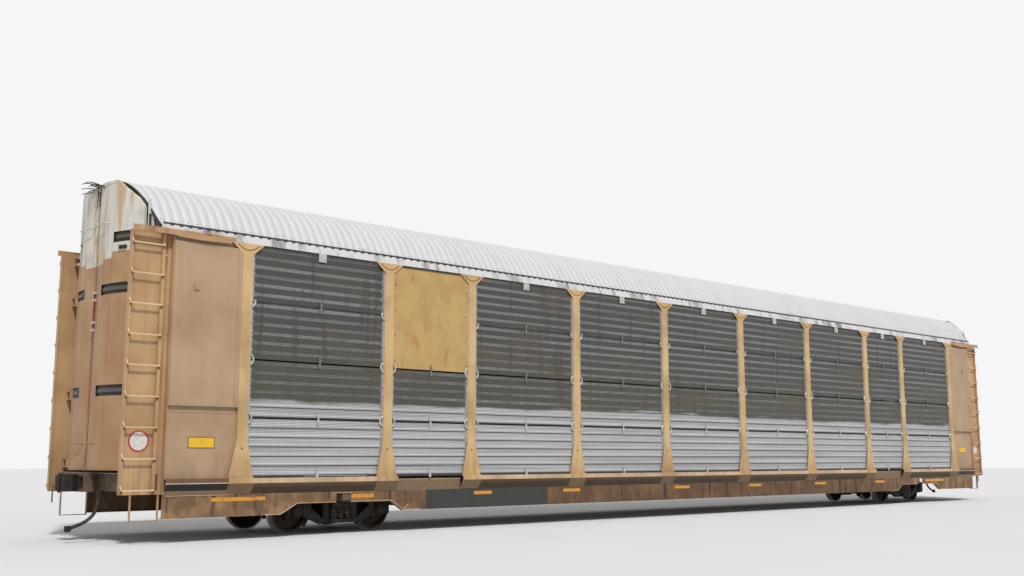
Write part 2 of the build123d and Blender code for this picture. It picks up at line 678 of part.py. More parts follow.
# Draft gear: the striker casting round each coupler shank and the pin that it swings on
SHANK_HALF_WIDTH = 64.0
SHANK_HALF_HEIGHT = 80.0
DRAFT_PIN_RADIUS = 35.0
STRIKER_HALF_WIDTH = 240.0
STRIKER_MOUTH = 185.0
CARRIER_DEPTH = 60.0
CARRIER_Z = COUPLER_Z - SHANK_HALF_HEIGHT - SEAT_CLEARANCE
MOUTH_TOP_Z = COUPLER_Z + SHANK_HALF_HEIGHT + 15.0
with BuildPart() as draft_gear:
    for end in BOTH:
        frame = [
            (-STRIKER_HALF_WIDTH, CARRIER_Z - CARRIER_DEPTH),
            (STRIKER_HALF_WIDTH, CARRIER_Z - CARRIER_DEPTH),
            (STRIKER_HALF_WIDTH, END_DECK_LOW_Z),
            (-STRIKER_HALF_WIDTH, END_DECK_LOW_Z),
        ]
        mouth = [
            (-STRIKER_MOUTH, CARRIER_Z),
            (STRIKER_MOUTH, CARRIER_Z),
            (STRIKER_MOUTH, MOUTH_TOP_Z),
            (-STRIKER_MOUTH, MOUTH_TOP_Z),
        ]
        cross_plate([frame], end * SILL_END_X, end * STRIKER_X)
        cross_plate([mouth], end * SILL_END_X, end * STRIKER_X, mode=Mode.SUBTRACT)
    pin_low = COUPLER_Z - DRAFT_HALF_HEIGHT + SILL_PLATE
    with BuildSketch(Plane.XY.offset(pin_low)):
        with Locations(*[(end * COUPLER_PIVOT_X, 0) for end in BOTH]):
            Circle(DRAFT_PIN_RADIUS)
    extrude(amount=END_DECK_LOW_Z - SILL_PLATE - pin_low)
save(draft_gear, "draft_gear")

# Couplers: a shank on the draft pin and a head with its guard arm, throat, knuckle and knuckle pin
HEAD_HALF_HEIGHT = 130.0
HEAD_BACK = PULLING_X - STRIKER_X - 40.0
KNUCKLE_PIN = (72.0, 112.0)
KNUCKLE_PIN_RADIUS = 21.0
KNUCKLE_PIN_HEAD = 22.0
# (back from the pulling face, across)
head_outline = [
    (HEAD_BACK, 90.0),
    (170.0, 190.0),
    (40.0, 200.0),
    (0.0, 170.0),
    (60.0, 120.0),
    (120.0, 20.0),
    (120.0, -60.0),
    (60.0, -90.0),
    (90.0, -160.0),
    (190.0, -140.0),
    (HEAD_BACK, -90.0),
]
knuckle_outline = [
    (90.0, -160.0),
    (60.0, -90.0),
    (95.0, -40.0),
    (85.0, 5.0),
    (30.0, 15.0),
    (0.0, -20.0),
    (0.0, -90.0),
    (30.0, -150.0),
]
for name, end in (("a", -1), ("b", 1)):
    with BuildPart() as coupler:
        shank = [
            (PULLING_X - COUPLER_PIVOT_X, SHANK_HALF_WIDTH),
            (HEAD_BACK, SHANK_HALF_WIDTH),
            (HEAD_BACK, -SHANK_HALF_WIDTH),
            (PULLING_X - COUPLER_PIVOT_X, -SHANK_HALF_WIDTH),
        ]
        tables = (
            (shank, SHANK_HALF_HEIGHT),
            (head_outline, HEAD_HALF_HEIGHT),
            (knuckle_outline, HEAD_HALF_HEIGHT - 10.0),
        )
        for outline, half in tables:
            placed = [(end * (PULLING_X - back), end * across) for back, across in outline]
            level_plate([placed], COUPLER_Z - half, COUPLER_Z + half)
        pin_half = HEAD_HALF_HEIGHT + KNUCKLE_PIN_HEAD
        rounds = (
            (COUPLER_PIVOT_X, 0.0, SHANK_HALF_WIDTH, SHANK_HALF_HEIGHT, Mode.ADD),
            (COUPLER_PIVOT_X, 0.0, DRAFT_PIN_RADIUS + PIN_CLEARANCE, SHANK_HALF_HEIGHT, Mode.SUBTRACT),
            (PULLING_X - KNUCKLE_PIN[0], -KNUCKLE_PIN[1], KNUCKLE_PIN_RADIUS, pin_half, Mode.ADD),
        )
        for x, y, radius, half, mode in rounds:
            with BuildSketch(Plane.XY.offset(COUPLER_Z - half)):
                with Locations((end * x, end * y)):
                    Circle(radius)
            extrude(amount=2 * half, mode=mode)
    save(coupler, f"coupler_{name}")

# Uncoupling levers: a rod from the striker out to a handle at the corner away from the hose, in a bracket
LEVER_RADIUS = 12.0
LEVER_X = SILL_END_X + 45.0
LEVER_Z = CORNER_LOW_Z + 90.0
LEVER_Y = CORNER_Y - 60.0
LEVER_HANDLE = 270.0
BRACKET_Y = LEVER_Y - 180.0
with BuildPart() as uncoupling_levers:
    for end in BOTH:
        run = [
            (end * LEVER_X, -end * STRIKER_HALF_WIDTH, LEVER_Z),
            (end * LEVER_X, -end * LEVER_Y, LEVER_Z),
            (end * LEVER_X, -end * LEVER_Y, LEVER_Z - LEVER_HANDLE),
        ]
        with BuildLine() as rod_line:
            FilletPolyline(*run, radius=3 * LEVER_RADIUS)
        with BuildSketch(Plane(origin=run[0], z_dir=(0, -end, 0))):
            Circle(LEVER_RADIUS)
        sweep(path=rod_line.wire())
        slab(
            (end * END_SILL_X[1], end * (LEVER_X + 2 * LEVER_RADIUS)),
            (-end * BRACKET_Y, -end * (BRACKET_Y + PLATE)),
            (LEVER_Z - 2 * LEVER_RADIUS, LEVER_Z + 2 * LEVER_RADIUS),
        )
save(uncoupling_levers, "uncoupling_levers")

# Door hinges: arms from the corner column with the pins that the leaves turn on
HINGE_ARM = 16.0
HINGE_REACH = CORNER_Y - PLATE - DOOR_PIVOT_Y + KNUCKLE_RADIUS
door_pivots = [(end * DOOR_PIVOT_X, side * DOOR_PIVOT_Y) for end in BOTH for side in BOTH]
HINGE_ARM_Y = CORNER_Y - PLATE - HINGE_REACH / 2
arm_places = [(end * DOOR_PIVOT_X, side * HINGE_ARM_Y) for end in BOTH for side in BOTH]
with BuildPart() as door_hinges:
    for height in HINGE_HEIGHTS:
        low = TREAD_Z + height - KNUCKLE_HEIGHT / 2 - SEAT_CLEARANCE
        high = TREAD_Z + height + KNUCKLE_HEIGHT / 2 + SEAT_CLEARANCE
        for arm_low in (low - HINGE_ARM, high):
            with BuildSketch(Plane.XY.offset(arm_low)):
                with Locations(*arm_places):
                    Rectangle(2 * KNUCKLE_RADIUS, HINGE_REACH)
            extrude(amount=HINGE_ARM)
        with BuildSketch(Plane.XY.offset(low)):
            with Locations(*door_pivots):
                Circle(PIN_RADIUS)
        extrude(amount=high - low)
save(door_hinges, "door_hinges")

# Door leaves: tall bowed leaves that meet at the middle. Each has a sloped shoulder under the roof,
# pockets across its face with an operating arm in each, and hinge knuckles on the outer edge.
BULGE_Y = 450.0
SHOULDER = ((DOOR_FLAT_Y, 5655.0), (930.0, 5460.0), (1100.0, 5320.0), (DOOR_EDGE_Y, 5170.0))
POCKET_DEPTH = 34.0
POCKET_HEIGHT = 170.0
ARM_HEIGHT = 60.0
ARM_DEPTH = 8.0
ARM_POCKETS = ((2300.0, 330.0), (3900.0, 330.0), (4720.0, 640.0))
STRAP_HALF = 20.0


def bowed_strip(corner, depths, z_span, start_y=0.0, mode=Mode.ADD):
    """A band of one leaf's bowed plan between two depths behind its face, from start_y to the outer edge."""
    end, side = corner
    face = [(DOOR_SEAM_X, DOOR_SEAM_GAP / 2), (DOOR_BULGE_X, BULGE_Y), (DOOR_EDGE_X, DOOR_EDGE_Y)]
    outer, inner = ([(end * (x - depth), side * y) for x, y in face] for depth in depths)
    with BuildSketch(Plane.XY.offset(z_span[0])) as plan:
        with BuildLine():
            ThreePointArc(*outer)
            Line(outer[2], inner[2])
            ThreePointArc(*reversed(inner))
            Line(inner[0], outer[0])
        make_face()
        with Locations((end * DOOR_PIVOT_X, side * start_y / 2)):
            if start_y:
                Rectangle(DOOR_PIVOT_Y, start_y, mode=Mode.SUBTRACT)
    extrude(plan.sketch, amount=z_span[1] - z_span[0], mode=mode)


for end_name, end in (("a", -1), ("b", 1)):
    for side_name, side in (("right", -1), ("left", 1)):
        with BuildPart() as leaf:
            corner = (end, side)
            bowed_strip(corner, (0.0, DOOR_THICKNESS), (DOOR_LOW_Z, DOOR_HIGH_Z))
            above = [(DOOR_EDGE_Y + 1.0, DOOR_SHOULDER_Z), (DOOR_EDGE_Y + 1.0, DOOR_HIGH_Z + 1.0)]
            shoulder = [(y, TREAD_Z + z) for y, z in SHOULDER] + above + [(DOOR_FLAT_Y, DOOR_HIGH_Z + 1.0)]
            cross_plate(
                [[(side * y, z) for y, z in shoulder]],
                end * (DOOR_EDGE_X - 2 * DOOR_THICKNESS),
                end * (DOOR_BULGE_X + DOOR_THICKNESS),
                mode=Mode.SUBTRACT,
            )
            for height, start_y in ARM_POCKETS:
                pocket, arm = (
                    (TREAD_Z + height - tall / 2, TREAD_Z + height + tall / 2)
                    for tall in (POCKET_HEIGHT, ARM_HEIGHT)
                )
                bowed_strip(corner, (-1.0, POCKET_DEPTH), pocket, start_y, mode=Mode.SUBTRACT)
                bowed_strip(corner, (ARM_DEPTH, POCKET_DEPTH), arm, start_y + ARM_HEIGHT)
            strap = [
                (DOOR_EDGE_X - DOOR_THICKNESS, DOOR_EDGE_Y),
                (DOOR_EDGE_X, DOOR_EDGE_Y),
                (DOOR_PIVOT_X + STRAP_HALF, DOOR_PIVOT_Y - STRAP_HALF),
                (DOOR_PIVOT_X - STRAP_HALF, DOOR_PIVOT_Y + STRAP_HALF),
            ]
            for height in HINGE_HEIGHTS:
                low = TREAD_Z + height - KNUCKLE_HEIGHT / 2
                level_plate([[(end * x, side * y) for x, y in strap]], low, low + KNUCKLE_HEIGHT)
                for radius, mode in ((KNUCKLE_RADIUS, Mode.ADD), (PIN_RADIUS + PIN_CLEARANCE, Mode.SUBTRACT)):
                    with BuildSketch(Plane.XY.offset(low)):
                        with Locations((end * DOOR_PIVOT_X, side * DOOR_PIVOT_Y)):
                            Circle(radius)
                    extrude(amount=KNUCKLE_HEIGHT, mode=mode)
        save(leaf, f"door_leaf_{end_name}_{side_name}")

# Ladders: nine rungs on each corner column, stood off on their bent ends
RUNG_TOP = TREAD_Z + 4536.0
RUNG_PITCH = 470.0
RUNGS = 9
RUNG_SIZE = 20.0
RUNG_X = (CORNER_X - 520.0, CORNER_X - 30.0)
RUNG_Y = SIDE_Y - 30.0
with BuildPart() as ladders:
    plan = [
        (RUNG_X[0], CORNER_Y),
        (RUNG_X[0], RUNG_Y),
        (RUNG_X[1], RUNG_Y),
        (RUNG_X[1], CORNER_Y),
        (RUNG_X[1] - RUNG_SIZE, CORNER_Y),
        (RUNG_X[1] - RUNG_SIZE, RUNG_Y - RUNG_SIZE),
        (RUNG_X[0] + RUNG_SIZE, RUNG_Y - RUNG_SIZE),
        (RUNG_X[0] + RUNG_SIZE, CORNER_Y),
    ]
    corners = [[(end * x, side * y) for x, y in plan] for end in BOTH for side in BOTH]
    lowest = RUNG_TOP - (RUNGS - 1) * RUNG_PITCH
    rungs = []
    for number in range(RUNGS):
        middle = lowest + number * RUNG_PITCH
        rungs.append(
            level_plate(corners, middle - RUNG_SIZE / 2, middle + RUNG_SIZE / 2, mode=Mode.PRIVATE)
        )
    add(rungs)
save(ladders, "ladders")

# Sill steps: a strap loop under each corner
STEP_Z = TREAD_Z + 310.0
STEP_X = (COLUMN_X + 20.0, SILL_END_X - 100.0)
STEP_STRAP = 12.0
STEP_WIDTH = 50.0
with BuildPart() as sill_steps:
    loop = [
        (STEP_X[0], END_SILL_LOW_Z),
        (STEP_X[0], STEP_Z),
        (STEP_X[1], STEP_Z),
        (STEP_X[1], END_SILL_LOW_Z),
        (STEP_X[1] - STEP_STRAP, END_SILL_LOW_Z),
        (STEP_X[1] - STEP_STRAP, STEP_Z + STEP_STRAP),
        (STEP_X[0] + STEP_STRAP, STEP_Z + STEP_STRAP),
        (STEP_X[0] + STEP_STRAP, END_SILL_LOW_Z),
    ]
    loops = [[(end * x, z) for x, z in loop] for end in BOTH]
    for side in BOTH:
        side_plate(loops, CORNER_Y - PLATE - STEP_WIDTH, CORNER_Y - PLATE, side)
save(sill_steps, "sill_steps")

# Trucks: cast side frames on roller bearings, a bolster on coil springs and two wheelsets
JAW_HALF = 118.0
JAW_TOP_Z = TREAD_Z + 505.0
FRAME_TOP_Z = TREAD_Z + 560.0
SPRING_SEAT_Z = TREAD_Z + 215.0
BOLSTER_END_Z = TREAD_Z + 405.0
WINDOW_TOP_Z = TREAD_Z + 515.0
WINDOW_HALF = 230.0
COLUMN_HALF = 330.0
HALF_BASE = WHEEL_BASE / 2
FRAME_Y = (JOURNAL_Y - FRAME_THICKNESS / 2, JOURNAL_Y + FRAME_THICKNESS / 2)
SPRING_RADIUS = 60.0
TRUCK_BOLSTER_HALF = 200.0
BOWL_Z = CENTER_PLATE_Z - SEAT_CLEARANCE
SIDE_BEARING_Y = 635.0
BEAM_X = 428.0
BEAM_Z = TREAD_Z + 235.0
BEAM_SIZE = 60.0
SHOE_RADIUS = WHEEL_RADIUS + 9.0
SHOE_DEPTH = 45.0
SHOE_SWEEP = 24.0
SHOE_WIDTH = 80.0
SHOE_Y = BACK_HALF_GAUGE + RIM_WIDTH - 10.0 - SHOE_WIDTH / 2
SHOE_HEAD = 60.0
FRAME_TOP_HALF = 520.0
SHOULDER_HALF = 700.0
PEDESTAL_WIDTH = 67.0
PEDESTAL_LOW_Z = AXLE_Z - 95.0
KEEL_Z = TREAD_Z + 145.0
WINDOW_SLANT = 280.0
SEAT_DEPTH = 45.0
SEAT_HALF_WIDTH = 140.0
SPRING_PITCH = 140.0
BOLSTER_TOP_Z = WINDOW_TOP_Z - 15.0
BOLSTER_HALF_LENGTH = 1130.0
BOLSTER_KNEE_Y = (560.0, 850.0)
BOLSTER_RISE = 60.0
BOWL_HALF = 400.0
BOWL_RIM = (8.0, 35.0)
BOWL_DEPTH = 22.0
SIDE_BEARING = (180.0, 100.0)
SIDE_BEARING_GAP = 6.0
ADAPTER_WIDTH = 180.0

frame_half = [
    (FRAME_TOP_HALF, FRAME_TOP_Z),
    (SHOULDER_HALF, FRAME_TOP_Z - 10.0),
    (HALF_BASE + 150.0, FRAME_TOP_Z - 10.0),
    (HALF_BASE + JAW_HALF + PEDESTAL_WIDTH, FRAME_TOP_Z - 50.0),
    (HALF_BASE + JAW_HALF + PEDESTAL_WIDTH, AXLE_Z - 75.0),
    (HALF_BASE + JAW_HALF, PEDESTAL_LOW_Z),
    (HALF_BASE + JAW_HALF, JAW_TOP_Z),
    (HALF_BASE - JAW_HALF, JAW_TOP_Z),
    (HALF_BASE - JAW_HALF, PEDESTAL_LOW_Z),
    (HALF_BASE - JAW_HALF - PEDESTAL_WIDTH, PEDESTAL_LOW_Z),
    (COLUMN_HALF + 70.0, KEEL_Z),
]
side_window_half = [
    (COLUMN_HALF, WINDOW_TOP_Z - 10.0),
    (COLUMN_HALF + WINDOW_SLANT - 50.0, WINDOW_TOP_Z - 20.0),
    (COLUMN_HALF + WINDOW_SLANT, WINDOW_TOP_Z - 90.0),
    (COLUMN_HALF + 20.0, SPRING_SEAT_Z + 10.0),
]
window = [
    (-WINDOW_HALF, SPRING_SEAT_Z),
    (WINDOW_HALF, SPRING_SEAT_Z),
    (WINDOW_HALF, WINDOW_TOP_Z),
    (-WINDOW_HALF, WINDOW_TOP_Z),
]


def wheel_profile():
    """Half of a wheelset in (radius, y), from the middle of the axle out to the end cap."""
    front_y = BACK_HALF_GAUGE + RIM_WIDTH
    rim = WHEEL_RADIUS - RIM_DEPTH
    bearing_out = JOURNAL_Y + BEARING_WIDTH / 2
    return [
        (AXLE_RADIUS, 0.0),
        (AXLE_RADIUS, BACK_HALF_GAUGE - 14.0),
        (HUB_RADIUS, BACK_HALF_GAUGE - 14.0),
        (HUB_RADIUS + 20.0, BACK_HALF_GAUGE + 50.0),
        (rim, BACK_HALF_GAUGE + 34.0),
        (rim, BACK_HALF_GAUGE),
        (WHEEL_RADIUS + FLANGE_DEPTH - 6.0, BACK_HALF_GAUGE),
        (WHEEL_RADIUS + FLANGE_DEPTH, BACK_HALF_GAUGE + 15.0),
        (WHEEL_RADIUS + 3.0, BACK_HALF_GAUGE + 36.0),
        (WHEEL_RADIUS - 4.0, front_y),
        (rim, front_y),
        (rim, BACK_HALF_GAUGE + 68.0),
        (HUB_RADIUS + 20.0, BACK_HALF_GAUGE + 84.0),
        (HUB_RADIUS, front_y + 14.0),
        (JOURNAL_RADIUS, front_y + 14.0),
        (JOURNAL_RADIUS, bearing_out + 6.0),
        (JOURNAL_RADIUS + 14.0, bearing_out + 6.0),
        (JOURNAL_RADIUS + 14.0, bearing_out + 30.0),
        (0.0, bearing_out + 30.0),
    ]


for name, end in (("a", -1), ("b", 1)):
    middle = end * TRUCK_X

    def here(outline):
        """An outline in (x, z) drawn about this truck's center."""
        return [(middle + x, z) for x, z in outline]

    with BuildPart() as side_frames:
        profile = frame_half + [(-x, z) for x, z in reversed(frame_half)]
        for side in BOTH:
            side_plate([here(profile)], *FRAME_Y, side)
            holes = [window, side_window_half, [(-x, z) for x, z in side_window_half]]
            side_plate([here(hole) for hole in holes], *FRAME_Y, side, mode=Mode.SUBTRACT)
            slab(
                (middle - WINDOW_HALF, middle + WINDOW_HALF),
                (side * (JOURNAL_Y - SEAT_HALF_WIDTH), side * (JOURNAL_Y + SEAT_HALF_WIDTH)),
                (SPRING_SEAT_Z - SEAT_DEPTH, SPRING_SEAT_Z),
            )
    save(side_frames, f"side_frames_{name}")

    with BuildPart() as truck_bolster:
        top = [(BOWL_HALF, BOWL_Z), (BOLSTER_KNEE_Y[0], BOLSTER_TOP_Z), (BOLSTER_HALF_LENGTH, BOLSTER_TOP_Z)]
        keel = [
            (BOLSTER_HALF_LENGTH, BOLSTER_END_Z),
            (BOLSTER_KNEE_Y[1], BOLSTER_END_Z),
            (BOLSTER_KNEE_Y[0], BOLSTER_END_Z - BOLSTER_RISE),
        ]
        cross_plate([mirrored_y(top + keel)], middle - TRUCK_BOLSTER_HALF, middle + TRUCK_BOLSTER_HALF)
        with BuildSketch(Plane.XY.offset(BOWL_Z)):
            with Locations((middle, 0)):
                Circle(CENTER_PLATE_RADIUS + BOWL_RIM[1])
                Circle(CENTER_PLATE_RADIUS + BOWL_RIM[0], mode=Mode.SUBTRACT)
        extrude(amount=BOWL_DEPTH)
        bearing_z = (BOLSTER_TOP_Z, BOLSTER_LOW_Z - SIDE_BEARING_GAP)
        with Locations(*[(middle, side * SIDE_BEARING_Y, sum(bearing_z) / 2) for side in BOTH]):
            Box(*SIDE_BEARING, bearing_z[1] - bearing_z[0])
    save(truck_bolster, f"truck_bolster_{name}")

    with BuildPart() as springs:
        with BuildSketch(Plane.XY.offset(SPRING_SEAT_Z)):
            for side in BOTH:
                with Locations((middle, side * JOURNAL_Y)):
                    with GridLocations(SPRING_PITCH, SPRING_PITCH, 3, 2):
                        Circle(SPRING_RADIUS)
        extrude(amount=BOLSTER_END_Z - SPRING_SEAT_Z)
    save(springs, f"springs_{name}")

    with BuildPart() as bearings:
        for axle in BOTH:
            for side in BOTH:
                axle_x = middle + axle * HALF_BASE
                start = side * JOURNAL_Y + BEARING_WIDTH / 2
                with BuildSketch(Plane.XZ.offset(-start)):
                    with Locations((axle_x, AXLE_Z)):
                        Circle(BEARING_RADIUS)
                    with Locations((axle_x, (AXLE_Z + JAW_TOP_Z) / 2)):
                        Rectangle(ADAPTER_WIDTH, JAW_TOP_Z - AXLE_Z)
                    with Locations((axle_x, AXLE_Z)):
                        Circle(JOURNAL_RADIUS + BEARING_CLEARANCE, mode=Mode.SUBTRACT)
                extrude(amount=BEARING_WIDTH)
    save(bearings, f"bearings_{name}")

    with BuildPart() as brake_beams:
        for axle in BOTH:
            beam_x = middle + axle * BEAM_X
            slab(
                (beam_x - BEAM_SIZE / 2, beam_x + BEAM_SIZE / 2),
                (-FRAME_Y[0], FRAME_Y[0]),
                (BEAM_Z - BEAM_SIZE / 2, BEAM_Z + BEAM_SIZE / 2),
            )
            wheel_center = Vector(middle + axle * HALF_BASE, AXLE_Z)
            toward = math.degrees(math.atan2(BEAM_Z - AXLE_Z, -axle * (HALF_BASE - BEAM_X)))
            angles = [toward + axle * turn for turn in (-SHOE_SWEEP, 0.0, SHOE_SWEEP)]
            inner, outer = (
                [wheel_center + Vector(radius, 0).rotate(Axis.Z, angle) for angle in angles]
                for radius in (SHOE_RADIUS, SHOE_RADIUS + SHOE_DEPTH)
            )
            for side in BOTH:
                start = side * SHOE_Y + SHOE_WIDTH / 2
                with BuildSketch(Plane.XZ.offset(-start)):
                    with BuildLine():
                        ThreePointArc(*inner)
                        Line(inner[2], outer[2])
                        ThreePointArc(*reversed(outer))
                        Line(outer[0], inner[0])
                    make_face()
                extrude(amount=SHOE_WIDTH)
                head_x = (beam_x, middle + axle * (HALF_BASE - SHOE_RADIUS - SHOE_DEPTH / 2))
                head_y = (side * SHOE_Y - SHOE_HEAD / 2, side * SHOE_Y + SHOE_HEAD / 2)
                slab(head_x, head_y, (BEAM_Z - BEAM_SIZE / 3, BEAM_Z + BEAM_SIZE / 2 + 15.0))
    save(brake_beams, f"brake_beams_{name}")

    for number, axle in ((1, -1), (2, 1)):
        axle_x = middle + axle * HALF_BASE
        with BuildPart() as wheelset:
            half = wheel_profile()
            with BuildSketch(Plane.XY.offset(AXLE_Z)):
                with BuildLine():
                    rim_line = half + [(r, -y) for r, y in reversed(half[1:])]
                    Polyline(*[(axle_x + r, y) for r, y in rim_line], close=True)
                make_face()
            revolve(axis=Axis((axle_x, 0, AXLE_Z), (0, 1, 0)))
        save(wheelset, f"wheelset_{name}{number}")

# Air brake: a reservoir and a cylinder hung under the deck, each on two brackets
RESERVOIR_X = -WIDE_BAY
CYLINDER_X = WIDE_BAY
BRAKE_Y = 620.0
BRAKE_Z = TREAD_Z + 560.0
TANK_BRACKET = (40.0, 120.0)
# (place along the car, length, radius)
brake_tanks = [(RESERVOIR_X, 1100.0, 170.0), (CYLINDER_X, 420.0, 140.0)]
with BuildPart() as brake_gear:
    for x, length, radius in brake_tanks:
        with BuildSketch(Plane.YZ.offset(x - length / 2)):
            with Locations((BRAKE_Y, BRAKE_Z)):
                Circle(radius)
        extrude(amount=length)
        with Locations(*[(x + foot * length / 3, BRAKE_Y, (BRAKE_Z + DECK_LOW_Z) / 2) for foot in BOTH]):
            Box(*TANK_BRACKET, DECK_LOW_Z - BRAKE_Z)
save(brake_gear, "brake_gear")

# Brake hoses: at each end an angle cock, the hose in its hanging curve and its coupling head
HOSE_RADIUS = 27.0
COCK_WALL = 8.0
COCK_REACH = 90.0
COCK_BODY = (90.0, 70.0)
COCK_UNDER = 20.0
FERRULE_WALL = 4.0
FERRULE_LENGTH = 60.0
HEAD_BLOCK = (80.0, 64.0, 90.0)
HOSE_ROUTE = (
    (13755.0, -360.0, 654.0),
    (13775.0, -362.0, 504.0),
    (13860.0, -361.0, 374.0),
    (14005.0, -356.0, 279.0),
    (14150.0, -346.0, 234.0),
)


def bend_radii(route):
    """For each corner 0.45 of its shorter run, over the tangent of half the turn."""
    points = [Vector(*point) for point in route]
    radii = []
    for before, corner, after in zip(points, points[1:], points[2:]):
        run_in = corner - before
        run_out = after - corner
        half_turn = math.radians(run_in.get_angle(run_out)) / 2
        radii.append(0.45 * min(run_in.length, run_out.length) / math.tan(half_turn))
    return radii


for name, end in (("a", -1), ("b", 1)):
    route = [(end * x, -end * y, z) if end > 0 else (end * x, y, z) for x, y, z in HOSE_ROUTE]
    radii = bend_radii(route)
    start = Vector(*route[0])
    start_run = (Vector(*route[1]) - start).normalized()
    stop = Vector(*route[-1])
    stop_run = (stop - Vector(*route[-2])).normalized()
    with BuildPart() as hose:
        with BuildLine() as hose_line:
            FilletPolyline(*route, radius=radii)
        with BuildSketch(Plane(origin=start, z_dir=start_run)):
            Circle(HOSE_RADIUS)
        sweep(path=hose_line.wire())
    save(hose, f"air_hose_{name}")

    with BuildPart() as angle_cock:
        with BuildSketch(Plane(origin=start, z_dir=-start_run)):
            Circle(HOSE_RADIUS + COCK_WALL)
        extrude(amount=COCK_REACH)
        body = start - start_run * COCK_REACH
        body_z = (body.Z - COCK_UNDER, END_SILL_LOW_Z)
        with Locations((body.X, body.Y, sum(body_z) / 2)):
            Box(*COCK_BODY, body_z[1] - body_z[0])
    save(angle_cock, f"angle_cock_{name}")

    with BuildPart() as glad_hand:
        with BuildSketch(Plane(origin=stop, z_dir=stop_run)):
            Circle(HOSE_RADIUS + FERRULE_WALL)
        extrude(amount=FERRULE_LENGTH)
        with Locations(stop + stop_run * FERRULE_LENGTH):
            Box(*HEAD_BLOCK)
    save(glad_hand, f"glad_hand_{name}")
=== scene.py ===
"""An enclosed car carrier for the railway, dressed for the picture: finishes, small parts and the view."""
import math

import bmesh
import bpy
import numpy as np
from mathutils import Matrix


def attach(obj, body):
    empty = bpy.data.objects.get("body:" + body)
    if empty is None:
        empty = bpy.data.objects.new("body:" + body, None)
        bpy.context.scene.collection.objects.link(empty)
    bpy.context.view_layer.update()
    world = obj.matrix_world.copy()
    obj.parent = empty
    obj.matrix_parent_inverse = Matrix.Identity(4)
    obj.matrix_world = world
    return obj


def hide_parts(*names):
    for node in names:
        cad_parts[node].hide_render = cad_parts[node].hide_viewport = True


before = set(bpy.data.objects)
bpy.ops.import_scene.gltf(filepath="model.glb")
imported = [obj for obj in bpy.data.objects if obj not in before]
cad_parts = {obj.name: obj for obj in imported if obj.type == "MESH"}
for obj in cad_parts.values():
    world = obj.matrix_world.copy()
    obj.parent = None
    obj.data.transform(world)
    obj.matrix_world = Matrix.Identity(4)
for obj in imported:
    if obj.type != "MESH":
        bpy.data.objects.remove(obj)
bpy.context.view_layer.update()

# The view: from beside the track, ahead of the A end and 1.3 m up, looking along the car and a little upwards.
# The lens is 39 mm on a 36 mm wide frame.
EYE = (-20.891, -17.753, 1.293)
TILT = math.radians(98.644)
TURN = math.radians(-42.323)
camera_data = bpy.data.cameras.new("view")
camera_data.sensor_width = 36.0
camera_data.lens = 39.23
camera_data.clip_end = 300.0
camera = bpy.data.objects.new("view", camera_data)
bpy.context.scene.collection.objects.link(camera)
camera.location = EYE
camera.rotation_euler = (TILT, 0.0, TURN)
bpy.context.scene.camera = camera


# Brake hoses: a rubber hose with a fabric cover, which hangs from the pipe cock at each end of the car.
# It is clamped to the cock above and carries an iron coupling head at its free end.
def node(tree, kind, inputs=None, output=0, **settings):
    """One output of a new shader node: settings go on the node, and each input takes a field or a plain value."""
    made = tree.nodes.new(kind)
    for key, value in settings.items():
        setattr(made, key, value)
    for key, value in (inputs or {}).items():
        if isinstance(value, Field):
            tree.links.new(value.socket, made.inputs[key])
        else:
            made.inputs[key].default_value = value
    return Field(made.outputs[output])


def calc(operation, a, b=0.0):
    """The result of one sum or comparison of a and b, at least one of them a field."""
    tree = a.tree if isinstance(a, Field) else b.tree
    return node(tree, "ShaderNodeMath", {0: a, 1: b}, operation=operation)


class Field:
    """A number or colour that varies over a surface. A sum with it adds the shader node that works it out."""

    def __init__(self, socket):
        self.socket = socket
        self.tree = socket.id_data

    def __add__(self, other):
        return calc("ADD", self, other)

    def __sub__(self, other):
        return calc("SUBTRACT", self, other)

    def __rsub__(self, other):
        return calc("SUBTRACT", other, self)

    def __mul__(self, other):
        return calc("MULTIPLY", self, other)

    def __truediv__(self, other):
        return calc("DIVIDE", self, other)

    def __abs__(self):
        return calc("ABSOLUTE", self)


def fade(value, start, stop):
    """0 where value is at start and 1 where it is at stop, with a smooth step between."""
    inputs = {"Value": value, "From Min": start, "From Max": stop}
    return node(value.tree, "ShaderNodeMapRange", inputs, "Result", interpolation_type="SMOOTHSTEP", clamp=True)


def blend(amount, first, second):
    """The first colour where amount is 0 and the second where it is 1."""
    first, second = (tone if isinstance(tone, Field) else (*tone, 1.0) for tone in (first, second))
    return node(amount.tree, "ShaderNodeMix", {0: amount, 6: first, 7: second}, 2, data_type="RGBA")


def cloudy(place, scale, detail=4.0, stretch=(1.0, 1.0, 1.0), rough=0.55):
    """Soft random clouds between 0 and 1; a small stretch along an axis draws them out along it."""
    drawn = node(place.tree, "ShaderNodeMapping", {"Vector": place, "Scale": stretch})
    inputs = {"Vector": drawn, "Scale": scale, "Detail": detail, "Roughness": rough}
    return node(place.tree, "ShaderNodeTexNoise", inputs)


def split(vector):
    """The x, y and z of a field of places or directions."""
    return [node(vector.tree, "ShaderNodeSeparateXYZ", {"Vector": vector}, part) for part in "XYZ"]


